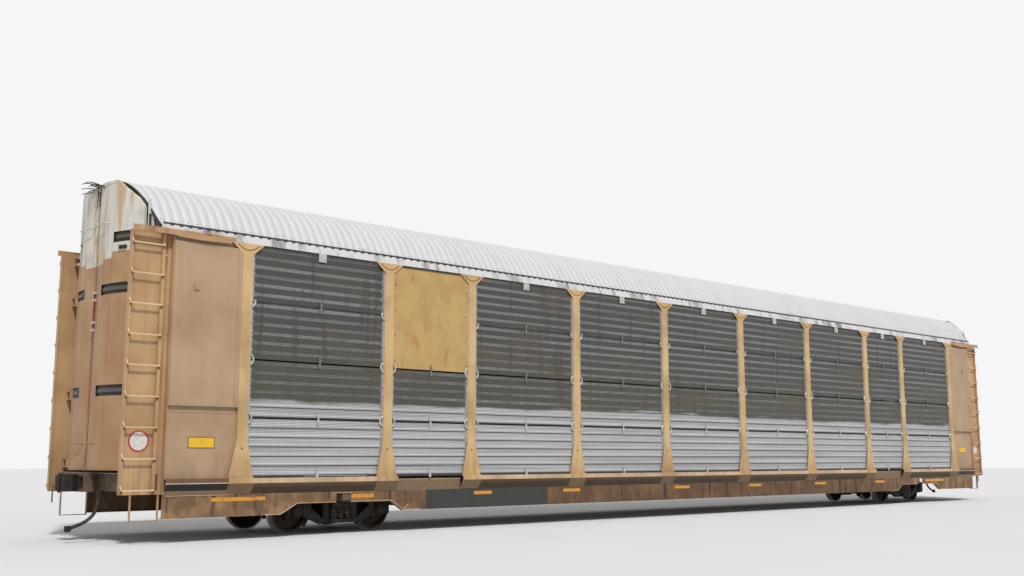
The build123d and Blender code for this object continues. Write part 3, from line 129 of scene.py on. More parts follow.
class Finish:
    """A material with one main shader. Its place is the point on the object, in metres."""

    def __init__(self, name, roughness=0.6, metallic=0.0):
        self.material = bpy.data.materials.new(name)
        self.material.use_nodes = True
        self.tree = self.material.node_tree
        self.shader = self.tree.nodes["Principled BSDF"]
        self.shader.inputs["Roughness"].default_value = roughness
        self.shader.inputs["Metallic"].default_value = metallic
        self.place = node(self.tree, "ShaderNodeTexCoord", output="Object")
        self.x, self.y, self.z = split(self.place)

    def set(self, name, value):
        """Gives one input of the main shader a field."""
        self.tree.links.new(value.socket, self.shader.inputs[name])

    def colour(self, tone):
        """Gives the surface its colour."""
        self.tone = tone
        self.set("Base Color", tone)

    def relief(self, height, distance, strength=1.0):
        """Raises the surface by height times distance, in metres, as seen by the light."""
        inputs = {"Height": height, "Distance": distance, "Strength": strength}
        self.set("Normal", node(self.tree, "ShaderNodeBump", inputs))


ENDS = {"a": -1, "b": 1}
HOSE_DIAMETER = 0.054
HOSE_BLACK = (0.012, 0.012, 0.012)
HOSE_DUST = (0.075, 0.062, 0.05)
HOSE_ROUTE = [
    (13.755, -0.360, 0.654),
    (13.775, -0.362, 0.504),
    (13.860, -0.361, 0.374),
    (14.005, -0.356, 0.279),
    (14.150, -0.346, 0.234),
]
hose_rubber = Finish("hose_rubber", roughness=0.78)
hose_rubber.colour(blend(fade(cloudy(hose_rubber.place, 9.0), 0.4, 0.75), HOSE_BLACK, HOSE_DUST))
hose_rubber.relief(cloudy(hose_rubber.place, 260.0, detail=2.0), 0.0012)
for name, end in ENDS.items():
    curve = bpy.data.curves.new(f"brake_hose_{name}", "CURVE")
    curve.dimensions = "3D"
    curve.bevel_depth = HOSE_DIAMETER / 2
    curve.bevel_resolution = 6
    curve.resolution_u = 16
    curve.use_fill_caps = True
    spline = curve.splines.new("NURBS")
    spline.points.add(len(HOSE_ROUTE) - 1)
    points = [(end * x, -end * y, z, 1.0) for x, y, z in HOSE_ROUTE]
    spline.points.foreach_set("co", np.array(points).ravel())
    spline.order_u = 3
    spline.use_endpoint_u = True
    hose = bpy.data.objects.new(f"brake_hose_{name}", curve)
    curve.materials.append(hose_rubber.material)
    bpy.context.scene.collection.objects.link(hose)
    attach(hose, "car")
    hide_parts(f"air_hose_{name}")


# Roof: corrugated steel sheets bent over the car, white paint gone chalky.
# Dirt lies in the valleys between the ribs, which are painted darker still as painted shade, and rust starts at the
# fastenings.
def paint_node(finish, *names):
    """Gives CAD nodes a finish through their objects' own material slots."""
    for name in names:
        piece = bpy.data.objects[name]
        if not piece.material_slots:
            piece.data.materials.append(finish.material)
        for slot in piece.material_slots:
            slot.material = finish.material


def fract(value):
    """What is left of value over its last whole number: a pattern that starts again at each one."""
    return calc("FRACT", value)


ROOF_WHITE = (0.58, 0.58, 0.59)
ROOF_DIRT = (0.36, 0.355, 0.35)
VALLEY_DIRT_AND_SHADE = (0.33, 0.33, 0.34)
ROOF_BOLT = (0.10, 0.09, 0.08)
ROOF_RUST = (0.28, 0.13, 0.06)
SHEET_PITCH = 2.50182
RIB_PITCH = SHEET_PITCH / 16
ROOF_START_X = -13.76
BOLT_ROW_Z = 4.985
BOLT_INNER, BOLT_OUTER = 0.008, 0.012
roof_paint = Finish("roof_paint", roughness=0.5)
runs = cloudy(roof_paint.place, 2.2, stretch=(1.0, 0.16, 0.16))
fine = cloudy(roof_paint.place, 14.0, detail=6.0)
dirty = fade(runs, 0.46, 0.72) * fade(fine, 0.30, 0.75)
tone = blend(dirty * 0.40, ROOF_WHITE, ROOF_DIRT)
tone = blend(fade(roof_paint.x, -6.0, 13.0) * 0.16, tone, ROOF_DIRT)
in_sheet = fract((roof_paint.x - ROOF_START_X) / SHEET_PITCH) * SHEET_PITCH
from_valley = abs(fract(in_sheet / RIB_PITCH) - 0.5)
# the valleys between the ribs are painted grey: their dirt and painted shade
tone = blend(fade(from_valley, 0.20, 0.02) * 0.40, tone, VALLEY_DIRT_AND_SHADE)
from_crest = (0.5 - from_valley) * RIB_PITCH
from_row = roof_paint.z - BOLT_ROW_Z
bolt = fade(from_crest * from_crest + from_row * from_row, BOLT_OUTER ** 2, BOLT_INNER ** 2)
tone = blend(bolt * fade(fine, 0.35, 0.55), tone, ROOF_BOLT)
cells = node(roof_paint.tree, "ShaderNodeTexVoronoi", {"Vector": roof_paint.place, "Scale": 3.1})
roof_paint.colour(blend(fade(cells, 0.075, 0.030) * fade(fine, 0.42, 0.6), tone, ROOF_RUST))
roof_paint.relief(fine, 0.002, 0.5)
paint_node(roof_paint, "roof")


# Roof sheets: eleven corrugated sheets lapped along the car, bent over it from eave to eave.
# Their ribs stand 156 mm apart, and the end sheets are cut back on a slope from the crown to the eaves.
def make_piece(name, parts, finish, body="car", smooth=False):
    """One new piece from its parts' points and faces, its faces turned outwards, fixed to one body."""
    starts = np.cumsum([0] + [len(points) for points, _ in parts[:-1]])
    points = np.concatenate([points for points, _ in parts])
    faces = np.concatenate([faces + start for (_, faces), start in zip(parts, starts)])
    mesh = bpy.data.meshes.new(name)
    mesh.from_pydata(points.tolist(), [], faces.tolist())
    shape = bmesh.new()
    shape.from_mesh(mesh)
    bmesh.ops.recalc_face_normals(shape, faces=shape.faces)
    shape.to_mesh(mesh)
    shape.free()
    if smooth:
        mesh.shade_smooth()
    mesh.materials.append(finish.material)
    piece = bpy.data.objects.new(name, mesh)
    bpy.context.scene.collection.objects.link(piece)
    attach(piece, body)
    return piece


def skin(points, closed=False):
    """Faces over a table of points (shells, rows, points in a row, 3). Each row is joined to the next one of its
    shell, and the last point of a closed row to its first."""
    shells, rows, width = points.shape[:3]
    index = np.arange(shells * rows * width).reshape(shells, rows, width)
    ahead = np.roll(index, -1, axis=2)
    faces = np.stack([index[:, :-1], ahead[:, :-1], ahead[:, 1:], index[:, 1:]], axis=-1)
    faces = faces if closed else faces[:, :, :-1]
    return points.reshape(-1, 3), faces.reshape(-1, 4)


ROOF_LINE = np.array([(1.470, 4.899), (1.390, 5.019), (1.150, 5.369), (0.700, 5.669), (0.0, 5.769)])
EAVE_Z, CROWN_Z = ROOF_LINE[0, 1], ROOF_LINE[-1, 1]
RIB_DEPTH = 0.017
SHEET_LAP = 0.002
SHEET_THICKNESS = 0.004
ROOF_CROWN_X = 13.760
ROOF_EAVE_X = 13.450
ENDS_START_X = 13.200


def roof_end_x(z):
    """Where the sloped end of the roof is at height z: in a straight line from the eave out to the crown."""
    return ROOF_EAVE_X + (z - EAVE_Z) / (CROWN_Z - EAVE_Z) * (ROOF_CROWN_X - ROOF_EAVE_X)


# The outline across the car: the corners of the roof line are cut twice, a quarter of the way to the next point
# each time, and the heights are then stretched until the crown is at its own height again.
section = np.concatenate([ROOF_LINE, ROOF_LINE[-2::-1] * (-1, 1)])
for _ in range(2):
    near, far = section[:-1], section[1:]
    cut = np.stack([near * 0.75 + far * 0.25, near * 0.25 + far * 0.75], axis=1).reshape(-1, 2)
    section = np.concatenate([section[:1], cut[1:-1], section[-1:]])
section[:, 1] = EAVE_Z + (section[:, 1] - EAVE_Z) * (CROWN_Z - EAVE_Z) / (section[:, 1].max() - EAVE_Z)
run = np.gradient(section, axis=0)
out = np.stack([-run[:, 1], run[:, 0]], axis=1) / np.linalg.norm(run, axis=1, keepdims=True)
out *= np.sign(out[len(out) // 2, 1])

# The sheets: that outline at every 26 mm along the car, the last ones leaning out to the sloped end. Each point
# sinks square to the outline by the rib's depth times half of (1 less the cosine of one turn to a rib), and by up
# to the lap more along its sheet. The under side is the same surface, one sheet's thickness lower.
at = np.linspace(-ROOF_CROWN_X, ROOF_CROWN_X, 1057)
beyond = np.maximum(0.0, np.abs(at)[:, None] - ENDS_START_X) / (ROOF_CROWN_X - ENDS_START_X)
reach = np.minimum(np.abs(at)[:, None], ENDS_START_X) + beyond * (roof_end_x(section[None, :, 1]) - ENDS_START_X)
sheet_x = np.sign(at)[:, None] * reach
in_sheet = np.mod(sheet_x - ROOF_START_X, SHEET_PITCH)
sink = RIB_DEPTH * (0.5 - 0.5 * np.cos(2 * np.pi * in_sheet / RIB_PITCH)) + SHEET_LAP * in_sheet / SHEET_PITCH
top, under = (np.concatenate([sheet_x[:, :, None], section[None] - out[None] * (sink + depth)[:, :, None]], axis=2)
              for depth in (0.0, SHEET_THICKNESS))
points, faces = skin(np.concatenate([top, under[:, ::-1]], axis=1)[None], closed=True)
row = 2 * len(section)
step = np.arange(len(section) - 1)
end_strip = np.stack([step, step + 1, row - 2 - step, row - 1 - step], axis=1)
faces = np.concatenate([faces, end_strip, end_strip + len(points) - row])
sheets = make_piece("roof_sheets", [(points, faces)], roof_paint)
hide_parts("roof")


# Roof edge: a black strip, scalloped to the ribs, is painted shadow in the joint between the roof sheets and the
# beam below.
# A rubber cord runs up the sloped end of the roof, pinched between the sheets and the carline.
def worn_finish(name, fresh, worn, grain, span, depth=0.001, roughness=0.6, metallic=0.0, detail=5.0):
    """One colour that clouds of wear turn into another: the wear starts at the first value of span and is full at
    the second. The same clouds, grain to the metre, raise the surface by depth."""
    made = Finish(name, roughness, metallic)
    wear = cloudy(made.place, grain, detail)
    made.colour(blend(fade(wear, *span), fresh, worn))
    made.relief(wear, depth)
    return made


def line(x, y, z):
    """A row of points from their x, y and z, each given for every point or once for them all."""
    return np.stack(np.broadcast_arrays(x, y, z), axis=-1)


def bands(rows):
    """A folded sheet through rows of points."""
    return skin(np.asarray(rows, float)[None])


SLANT = (0.31, 0.17, 0.93)


def tubes(paths, radius, sides=8):
    """Round bars along paths, none of them along SLANT. Square to each path's direction stands a ring of points:
    the cosine of the turn along one side and its sine along the other. The end rings are drawn in to close them."""
    paths = np.asarray(paths, float)
    along = np.gradient(paths, axis=1)
    along /= np.linalg.norm(along, axis=2, keepdims=True)
    side = np.cross(along, SLANT)
    side /= np.linalg.norm(side, axis=2, keepdims=True)
    up = np.cross(side, along)
    turn = np.linspace(0.0, 2 * np.pi, sides, endpoint=False)
    ring = side[:, :, None] * np.cos(turn)[:, None] + up[:, :, None] * np.sin(turn)[:, None]
    ring = np.concatenate([ring[:, :1], ring, ring[:, -1:]], axis=1)
    middle = np.concatenate([paths[:, :1], paths, paths[:, -1:]], axis=1)
    reach = np.full(middle.shape[1], radius)
    reach[[0, -1]] = radius * 0.02
    return skin(middle[:, :, None] + ring * reach[None, :, None, None], closed=True)


black_rubber_and_shadow = worn_finish("black_rubber_and_shadow", (0.012, 0.012, 0.013), (0.06, 0.058, 0.055), 30.0, (0.4, 0.75),
                           depth=0.002, roughness=0.7)
# The painted shadow strip: straight along the car, with rows at these distances out and heights. Its lowest rows
# drop further by the cosine of one turn to a rib where that is above zero, so it reaches down under each crest.
SHADOW_STRIP_ROWS = ((1.4560, 4.945, 0.0), (1.5015, 4.920, 0.0), (1.5030, 4.915, 0.0), (1.5030, 4.906, 0.020),
                (1.5005, 4.906, 0.020))
CORD_RADIUS = 0.019
along = np.linspace(-13.43, 13.43, 1600)
scallop = np.maximum(0.0, np.cos(2 * np.pi * np.mod(along - ROOF_START_X, SHEET_PITCH) / RIB_PITCH))
shadow_strips_and_cords = [bands([line(along, side * y, z - drop * scallop) for y, z, drop in SHADOW_STRIP_ROWS]) for side in (-1, 1)]
steps = np.linspace(0, len(section) - 1, 65)
arch_y, arch_z = (np.interp(steps, np.arange(len(section)), part) for part in section.T)
shadow_strips_and_cords += [tubes([line(end * (roof_end_x(arch_z) + 0.006), arch_y * 0.990, arch_z - 0.020)], CORD_RADIUS)
             for end in (-1, 1)]
make_piece("roof_shadow_strips_and_cords", shadow_strips_and_cords, black_rubber_and_shadow)

# Torn rubber: what is left of the flap that closed the joint over each pair of doors.
# Strips of it are bolted to the top of the leaves and stick out, split and curled by the wind; one hangs down.
CORNERS = {"a_right": (-1, -1), "a_left": (-1, 1), "b_right": (1, -1), "b_left": (1, 1)}
RAG_REACH = (0.46, 0.30, 0.38, 0.22, 0.30)
RAG_LEAN = (0.02, -0.05, 0.04, -0.02, 0.06)
RAG_WIDTH = 0.036
RAG_Z = 5.690
HANGING_DROP = 0.370


def lens(thick, thin):
    """How far the edges and the two faces of a flat strip stand across and out, once round it."""
    return (-1, 0.0), (0, thick), (1, 0.0), (0, -thin), (-1, 0.0)


# Along each strip t goes from 0 at the bolts to 1 at the tip. Its middle rises by a sine of t and droops by t
# squared, it swings out and sideways with t, and its width shrinks with t to the power of one and a half. The
# hanging strip goes straight down and narrows with t, its edges waved by a sine.
for corner, (end, side) in CORNERS.items():
    rags = []
    t = np.linspace(0.0, 1.0, 9)
    for number, (reach, lean) in enumerate(zip(RAG_REACH, RAG_LEAN)):
        x = 13.842 + 0.02 * np.sin(3.1 * t) + 0.65 * reach * t
        y = side * (0.042 + 0.050 * number + lean * t)
        z = RAG_Z - 0.012 * number + (0.040 - 0.018 * number) * np.sin(2.2 * t) - 0.05 * t * t + 0.02 * t
        width = RAG_WIDTH * (1.0 - 0.75 * t ** 1.5)
        rags.append(bands([line(end * x, y + w * width, z + lift) for w, lift in lens(0.010, 0.004)]))
    t = np.linspace(0.0, 1.0, 15)
    y = 0.050 + 0.014 * np.sin(9.0 * t)
    width = 0.030 * (1.0 - 0.8 * t) * (1.0 + 0.35 * np.sin(23.0 * t))
    rags.append(bands([line(end * (13.868 + lift), side * (y + w * width), 5.700 - HANGING_DROP * t)
                       for w, lift in lens(0.007, 0.003)]))
    make_piece(f"torn_flap_{corner}", rags, black_rubber_and_shadow, body=f"door_leaf_{corner}")


# Wing plates: a white steel plate closes the wedge between the door's edge and the sloped end of the roof.
# Two slots in it are open, and black strips on the plate are painted shade inside them; it is riveted to the end
# frame beside it.
def at_corners(*parts):
    """Parts made for the corner where x and y are above zero, mirrored to all four corners of the car."""
    return [(points * (end, side, 1.0), faces) for end, side in CORNERS.values() for points, faces in parts]


WING_Y = 1.300
WING_BACK_Y = WING_Y - 0.004
WING_X = 13.600
SLOT_FOOT_Z = 4.860
SLOTS = ((13.562, 0.020, 5.070), (13.480, 0.010, 5.000))
wing_white = worn_finish("wing_white", (0.56, 0.55, 0.52), (0.30, 0.24, 0.18), 7.0, (0.48, 0.72),
                         depth=0.002, roughness=0.55, detail=6.0)
# Each plate is flat and upright. Its outer edge is straight; its inner one follows the sloped end of the roof
# 110 mm inside it, and above 5.12 m it is straight too.
z = np.linspace(4.700, 5.310, 12)
inner_x = np.where(z < 5.120, np.maximum(roof_end_x(z) - 0.110, 13.345), 13.556)
wing = bands([line(x, y, z) for x, y in ((inner_x, WING_Y), (WING_X, WING_Y), (WING_X, WING_BACK_Y),
                                         (inner_x, WING_BACK_Y), (inner_x, WING_Y))])
# the black strips in the slots are painted shade
slot_shadows = [bands([line(x + off * half_width, WING_Y + lift, (SLOT_FOOT_Z, top_z))
                for off, lift in ((-1, -0.001), (-1, 0.002), (1, 0.002), (1, -0.001), (-1, -0.001))])
         for x, half_width, top_z in SLOTS]
make_piece("wing_plates", at_corners(wing), wing_white)
make_piece("wing_slot_shadows", at_corners(*slot_shadows), black_rubber_and_shadow)

# Top chords: the pressed steel beam over the posts, painted white with the roof and streaked with its wash.
# The end beams over the ladders and end panels are tan, with rust running from their seams.
CHORD_WHITE = (0.67, 0.66, 0.655)
CHORD_STREAK = (0.27, 0.25, 0.23)
TAN = (0.55, 0.385, 0.235)
TAN_DARK = (0.40, 0.26, 0.145)
END_TAN = (0.46, 0.285, 0.160)
END_TAN_DARK = (0.36, 0.195, 0.095)
RUST = (0.23, 0.085, 0.035)
chord_paint = Finish("chord_paint", roughness=0.6)
z = chord_paint.z
runs = cloudy(chord_paint.place, 5.0, stretch=(1.0, 0.3, 0.15), detail=5.0)
white = blend(fade(runs, 0.45, 0.7), CHORD_WHITE, CHORD_STREAK)
tan = blend(fade(runs, 0.45, 0.62), TAN, TAN_DARK)
at_end = fade(abs(chord_paint.x), 12.15, 12.2)
tan = blend(at_end, tan, blend(fade(runs, 0.40, 0.62), END_TAN, END_TAN_DARK))
tan = blend(fade(runs, 0.56, 0.68) * fade(z, 4.70, 4.80), tan, RUST)
proud = fade(abs(chord_paint.y), 1.5251, 1.5255)
chord_paint.colour(blend(calc("MAXIMUM", proud, at_end * fade(z, 4.84, 4.83)), white, tan))
chord_paint.relief(runs, 0.003, 0.4)
paint_node(chord_paint, "top_chords")


# Posts and end plates: pressed steel painted tan, ten posts to a side, riveted to the chords.
# The paint has faded in clouds, carries thin vertical runs, and rusts a little at its seams.
def tan_paint(name, light, dark, streaks=0.5, rust=0.3, low_dirt=0.0):
    """Faded paint: clouds between a light and a dark tone, upright runs, rust spots and dirt near the sill."""
    made = Finish(name, roughness=0.55)
    clouds = cloudy(made.place, 1.3, detail=5.0)
    runs = cloudy(made.place, 9.0, stretch=(1.0, 1.0, 0.06), detail=3.0)
    tone = blend(fade(clouds, 0.35, 0.7), light, dark)
    tone = blend(fade(runs, 0.5, 0.75) * streaks, tone, dark)
    if low_dirt:
        tone = blend(fade(made.z, 1.7, 0.8) * low_dirt * fade(runs, 0.3, 0.6), tone, LOW_DIRT)
    patchy = cloudy(made.place, 23.0, detail=6.0, rough=0.7)
    made.colour(blend(fade(patchy, 0.66, 0.72) * fade(clouds, 0.4, 0.6) * rust, tone, RUST))
    made.relief(patchy + clouds * 6.0, 0.0015, 0.6)
    return made


def facing_down(finish):
    """0 where the surface stands upright or faces up and 1 where it faces well down, into its own shade."""
    return fade(split(node(finish.tree, "ShaderNodeNewGeometry", output="True Normal"))[2], -0.05, -0.30)


LOW_DIRT = (0.17, 0.105, 0.06)
POST_SHADE = (0.11, 0.065, 0.032)
post_tan = tan_paint("post_tan", (0.61, 0.41, 0.195), (0.42, 0.265, 0.120), streaks=0.35, low_dirt=0.35)
post_tan.colour(blend(facing_down(post_tan) * 0.75, post_tan.tone, POST_SHADE))
paint_node(post_tan, "posts_right", "posts_left")
plate_tan = tan_paint("plate_tan", (0.43, 0.295, 0.182), (0.35, 0.23, 0.138), streaks=0.25, rust=0.15, low_dirt=0.3)
paint_node(plate_tan, "end_panels")
corner_tan = tan_paint("corner_tan", (0.50, 0.315, 0.16), (0.36, 0.21, 0.10), streaks=0.5, rust=0.4, low_dirt=0.5)
paint_node(corner_tan, "corner_columns", "sill_steps")

# Wall panels: corrugated galvanised sheet punched with rows of small holes, four to a bay.
# Years of grime darken the upper rows; below a wavy line the zinc is still bright.
WALL_LOW_Z = 0.979
PANEL_PITCH = 0.948
PANEL_GAP = 0.026
WAVE_PITCH = (PANEL_PITCH - PANEL_GAP) / 6
POST_X = (1.4285, 4.2855, 7.1425, 9.0975, 11.9545)
BRIGHT_Z = 2.24
HOLE_ROWS = 6
HOLE_PITCH = 0.021
ZINC = (0.60, 0.602, 0.612)
ZINC_DULL = (0.30, 0.30, 0.30)
WAVE_SHADE = (0.070, 0.070, 0.073)
GRIME = (0.062, 0.062, 0.058)
GRIME_LIT = (0.285, 0.283, 0.272)
BROWN_STAIN = (0.125, 0.100, 0.066)
BLACK_RUN = (0.045, 0.042, 0.038)
OLIVE = (0.096, 0.090, 0.058)
HOLE_BLACK = (0.018, 0.018, 0.018)
EDGE_GREY = (0.34, 0.33, 0.31)
panel_zinc = Finish("panel_zinc", roughness=0.48, metallic=0.25)
place, x, z = panel_zinc.place, panel_zinc.x, panel_zinc.z
in_row = fract((z - (WALL_LOW_Z + PANEL_GAP / 2)) / PANEL_PITCH)
phase = fract(in_row * (PANEL_PITCH / WAVE_PITCH))
from_post = abs(abs(x) - POST_X[0])
for post_x in POST_X[1:]:
    from_post = calc("MINIMUM", from_post, abs(abs(x) - post_x))
across = cloudy(place, 1.6, stretch=(0.35, 1.0, 1.0), detail=5.0)
runs = cloudy(place, 7.0, stretch=(1.0, 1.0, 0.08), detail=4.0)
lines = cloudy(place, 5.0, stretch=(0.06, 1.0, 3.0), detail=3.0)
# the upper side of each wave is painted lighter as painted light, and the under side keeps the dark grime
lit_wave_face = fade(phase, 0.50, 0.60) * fade(phase, 0.99, 0.88)
upper = blend(lit_wave_face * (fade(lines, 0.3, 0.62) * 0.55 + 0.45), GRIME, GRIME_LIT)
upper = blend(fade(across, 0.48, 0.70) * 0.6, upper, BROWN_STAIN)
upper = blend(fade(runs, 0.54, 0.72) * 0.55, upper, BLACK_RUN)
upper = blend(fade(z, 3.70, 2.50) * fade(runs, 0.30, 0.55) * 0.45, upper, OLIVE)
lower = blend(fade(lines, 0.42, 0.66) * 0.40, ZINC, ZINC_DULL)
lower = blend(fade(phase, 0.26, 0.08), lower, WAVE_SHADE)
tone = blend(fade(z - ((across - 0.5) * 0.40 + BRIGHT_Z), 0.045, -0.035), upper, lower)
# the holes stand in rows along each wave, and the sheet's pale edge beside a post is sawn by the waves
hole = fade(abs(fract(x / HOLE_PITCH) - 0.5), 0.34, 0.26) * fade(abs(fract(phase * HOLE_ROWS) - 0.5), 0.26, 0.18)
tone = blend(hole * 0.85, tone, HOLE_BLACK)
saw = abs(fract(phase * 2.0) - 0.5) * 0.05
panel_zinc.colour(blend(fade(from_post - saw, 0.135, 0.120) * 0.8, tone, EDGE_GREY))
panel_zinc.relief(lines - hole, 0.003, 0.6)
paint_node(panel_zinc, "panels_right", "panels_left")

# Wall clips: forged hooks lock the corrugated sheets to the posts where two sheets meet.
# Small plates clip the middle of each sheet to the next one, and all are bare galvanised steel.
CUBE = np.array([(x, y, z) for x in (-0.5, 0.5) for y in (-0.5, 0.5) for z in (-0.5, 0.5)])
CUBE_FACES = np.array([(0, 1, 3, 2), (4, 6, 7, 5), (0, 4, 5, 1), (2, 3, 7, 6), (0, 2, 6, 4), (1, 5, 7, 3)])


def blocks(places):
    """Plain blocks from a table of (x, y, z, length, depth, height): each is a cube of one metre, stretched to
    its sizes and moved to its middle."""
    table = np.asarray(places, float)
    points = table[:, None, :3] + CUBE[None] * table[:, None, 3:]
    faces = CUBE_FACES[None] + 8 * np.arange(len(table))[:, None, None]
    return points.reshape(-1, 3), faces.reshape(-1, 4)


clip_zinc = worn_finish("clip_zinc", (0.56, 0.55, 0.53), (0.26, 0.23, 0.20), 35.0, (0.4, 0.75),
                        roughness=0.45, metallic=0.35)
strap_grey = worn_finish("strap_grey", (0.20, 0.20, 0.19), (0.09, 0.075, 0.06), 35.0, (0.4, 0.75),
                         roughness=0.55, metallic=0.2)
HOOK_RADIUS = 0.018
posts = np.array([-x for x in POST_X[::-1]] + list(POST_X))
bays = list(zip(posts[:-1], posts[1:]))
PLAIN_BAY = {-1: 1, 1: len(bays) - 2}
joints_z = [WALL_LOW_Z + PANEL_PITCH * k for k in (1, 2, 3)]
# A hook is a bar bent in half an ellipse beside its post: the cosine of the turn goes out from the post and its
# sine up. At the top joint it stops short, past the middle.
hooks, plates, straps = [], [], []
for side in (-1, 1):
    for number, z in enumerate(joints_z):
        turn = np.linspace(-np.pi / 2, np.pi / 2 if number < 2 else np.pi / 8, 9)
        for toward in (-1, 1):
            beside = posts[1:] if toward < 0 else posts[:-1]
            if number == 2:
                beside = np.delete(beside, PLAIN_BAY[side])
            hook = line(toward * (0.094 + 0.066 * np.cos(turn)), side * 1.512, z + 0.080 * np.sin(turn))
            hooks.append(tubes(beside[:, None, None] * (1.0, 0.0, 0.0) + hook[None], HOOK_RADIUS, sides=6))
    for number, (low_x, high_x) in enumerate(bays):
        middle = (low_x + high_x) / 2
        plain = number == PLAIN_BAY[side]
        for z in joints_z[:2] if plain else joints_z:
            row = plates if z < BRIGHT_Z else straps
            row.append((middle, side * 1.506, z, 0.034, 0.014, 0.190))
            row.append((middle, side * 1.515, z + 0.050, 0.050, 0.012, 0.030))
        if not plain:
            plates.append((middle, side * 1.512, 4.700, 0.150, 0.022, 0.150))
        plates.append((middle, side * 1.508, 1.010, 0.046, 0.020, 0.130))
make_piece("wall_clips", hooks + [blocks(plates)], clip_zinc)
make_piece("joint_straps", [blocks(straps)], strap_grey)

# Panel seals: over the top sheet of each bay a black strip is painted shadow in the gap under the beam, and a black
# rubber strip closes the gap under the bottom sheet. They are pushed into the joints; the upper one stands a little
# proud.
shadow_strips_and_seals = []
for side in (-1, 1):
    for low_x, high_x in bays:
        # the upper strip is painted shadow: a black block in the gap under the beam
        shadow_strips_and_seals.append(((low_x + high_x) / 2, side * 1.507, 4.754, high_x - low_x - 0.60, 0.016, 0.030))
        shadow_strips_and_seals.append(((low_x + high_x) / 2, side * 1.494, 0.975, high_x - low_x - 0.19, 0.014, 0.026))
make_piece("panel_shadow_strips_and_seals", [blocks(shadow_strips_and_seals)], black_rubber_and_shadow)


# Panel edges: a pressed edge strip runs up both sides of every bay and holds the ends of the sheets.
# It is pale galvanised steel, fixed to the post by a row of rivets.
def studs(places, radius, depth):
    """Round bolt heads at a table of (x, y, z), which stand out from the car's side. A head is three rings, each
    the cosine and sine of the turn times its reach: at the wall, higher, then drawn in; and its middle."""
    table = np.concatenate(places)
    side = np.sign(table[:, 1])[:, None, None]
    turn = np.linspace(0.0, 2 * np.pi, 8, endpoint=False)
    reach = np.array([radius, radius, radius * 0.6, 0.0001])[:, None]
    out = np.array([0.0, 0.6, 1.0, 1.0])[:, None] * depth
    rings = line(side * reach * np.cos(turn), side * out, -reach * np.sin(turn))
    return skin(table[:, None, None, :] + rings, closed=True)


STRIP_OFF = 0.101
RIVET_Z = np.arange(1.10, 4.70, 0.237)
strips, rivets = [], []
for side in (-1, 1):
    for low_x, high_x in bays:
        for x in (low_x + STRIP_OFF, high_x - STRIP_OFF):
            strips.append((x, side * 1.5025, 2.875, 0.022, 0.006, 3.760))
            rivets.append(line(x, side * 1.5055, RIVET_Z))
make_piece("panel_edge_strips", [blocks(strips), studs(rivets, 0.006, 0.004)], clip_zinc)

# Plain sheets: a flat steel plate fills the upper half of one bay on each side, painted yellow-tan.
# Rust weeps from its bolts and lower seam.
SHEET_YELLOW = (0.50, 0.325, 0.120)
SHEET_FADED = (0.42, 0.265, 0.095)
RUST_RUN = (0.40, 0.15, 0.02)
sheet_yellow = Finish("sheet_yellow", roughness=0.5)
clouds = cloudy(sheet_yellow.place, 2.6, detail=5.0)
runs = cloudy(sheet_yellow.place, 6.0, stretch=(1.0, 1.0, 0.22), detail=4.0)
tone = blend(fade(clouds, 0.35, 0.7), SHEET_YELLOW, SHEET_FADED)
sheet_yellow.colour(blend(fade(runs, 0.55, 0.70) * fade(clouds, 0.44, 0.56) * 0.75, tone, RUST_RUN))
sheet_yellow.relief(clouds, 0.006, 0.5)
paint_node(sheet_yellow, "plain_panels")

# Bolts and post heads: two columns of bolts hold each plain sheet, and one bolt goes through each post's foot.
# The seam under each post's flared head is a bent bead. All of it is steel that has rusted through its paint.
SHEET_BOLT_Z = np.array([3.02, 3.48, 3.94, 4.40])
SHEET_BOLT_OFF = 0.145
SEAM_HALF = 0.190
SEAM_END_Z = 4.745
SEAM_SAG = 0.085
bolt_rust = worn_finish("bolt_rust", (0.12, 0.065, 0.035), (0.23, 0.12, 0.05), 40.0, (0.35, 0.7), roughness=0.8)
sheet_bolts, foot_bolts, seams = [], [], []
across = np.linspace(-SEAM_HALF, SEAM_HALF, 11)
# the seam sags under its ends by a parabola: most in the middle, and nothing half its width away
sag_z = SEAM_END_Z - SEAM_SAG * (1.0 - (across / SEAM_HALF) ** 2)
for side in (-1, 1):
    low_x, high_x = bays[PLAIN_BAY[side]]
    sheet_bolts += [line(x, side * 1.5, SHEET_BOLT_Z) for x in (low_x + SHEET_BOLT_OFF, high_x - SHEET_BOLT_OFF)]
    foot_bolts.append(line(posts, side * 1.5245, 1.440))
    seams += [line(x + across, side * 1.5275, sag_z) for x in posts]
make_piece("sheet_bolts", [studs(sheet_bolts, 0.013, 0.009), studs(foot_bolts, 0.016, 0.012)], bolt_rust)
make_piece("post_head_seams", [tubes(seams, 0.006, sides=6)], bolt_rust)

# Ladders: round rungs between two flat stiles at each corner, bolted through the column.
# The rungs' yellow paint is worn pale by boots and gloves; a dark bolt holds each end.
RUNG_Z = 4.565 - 0.470 * np.arange(9)
STILE_Y = 1.4275
STILE_Z, STILE_HEIGHT = 2.750, 3.990
rung_yellow = tan_paint("rung_yellow", (0.70, 0.52, 0.33), (0.56, 0.38, 0.20), streaks=0.2, rust=0.5)
paint_node(rung_yellow, "ladders")
stiles = blocks([(13.378, STILE_Y, STILE_Z, 0.052, 0.055, STILE_HEIGHT),
                 (13.884, STILE_Y, STILE_Z, 0.032, 0.055, STILE_HEIGHT),
                 (13.620, 1.4100, 4.700, 0.480, 0.020, 0.070)])
rung_bolts = studs([line(x, 1.458, RUNG_Z - 0.030) for x in (13.378, 13.872)], 0.016, 0.014)
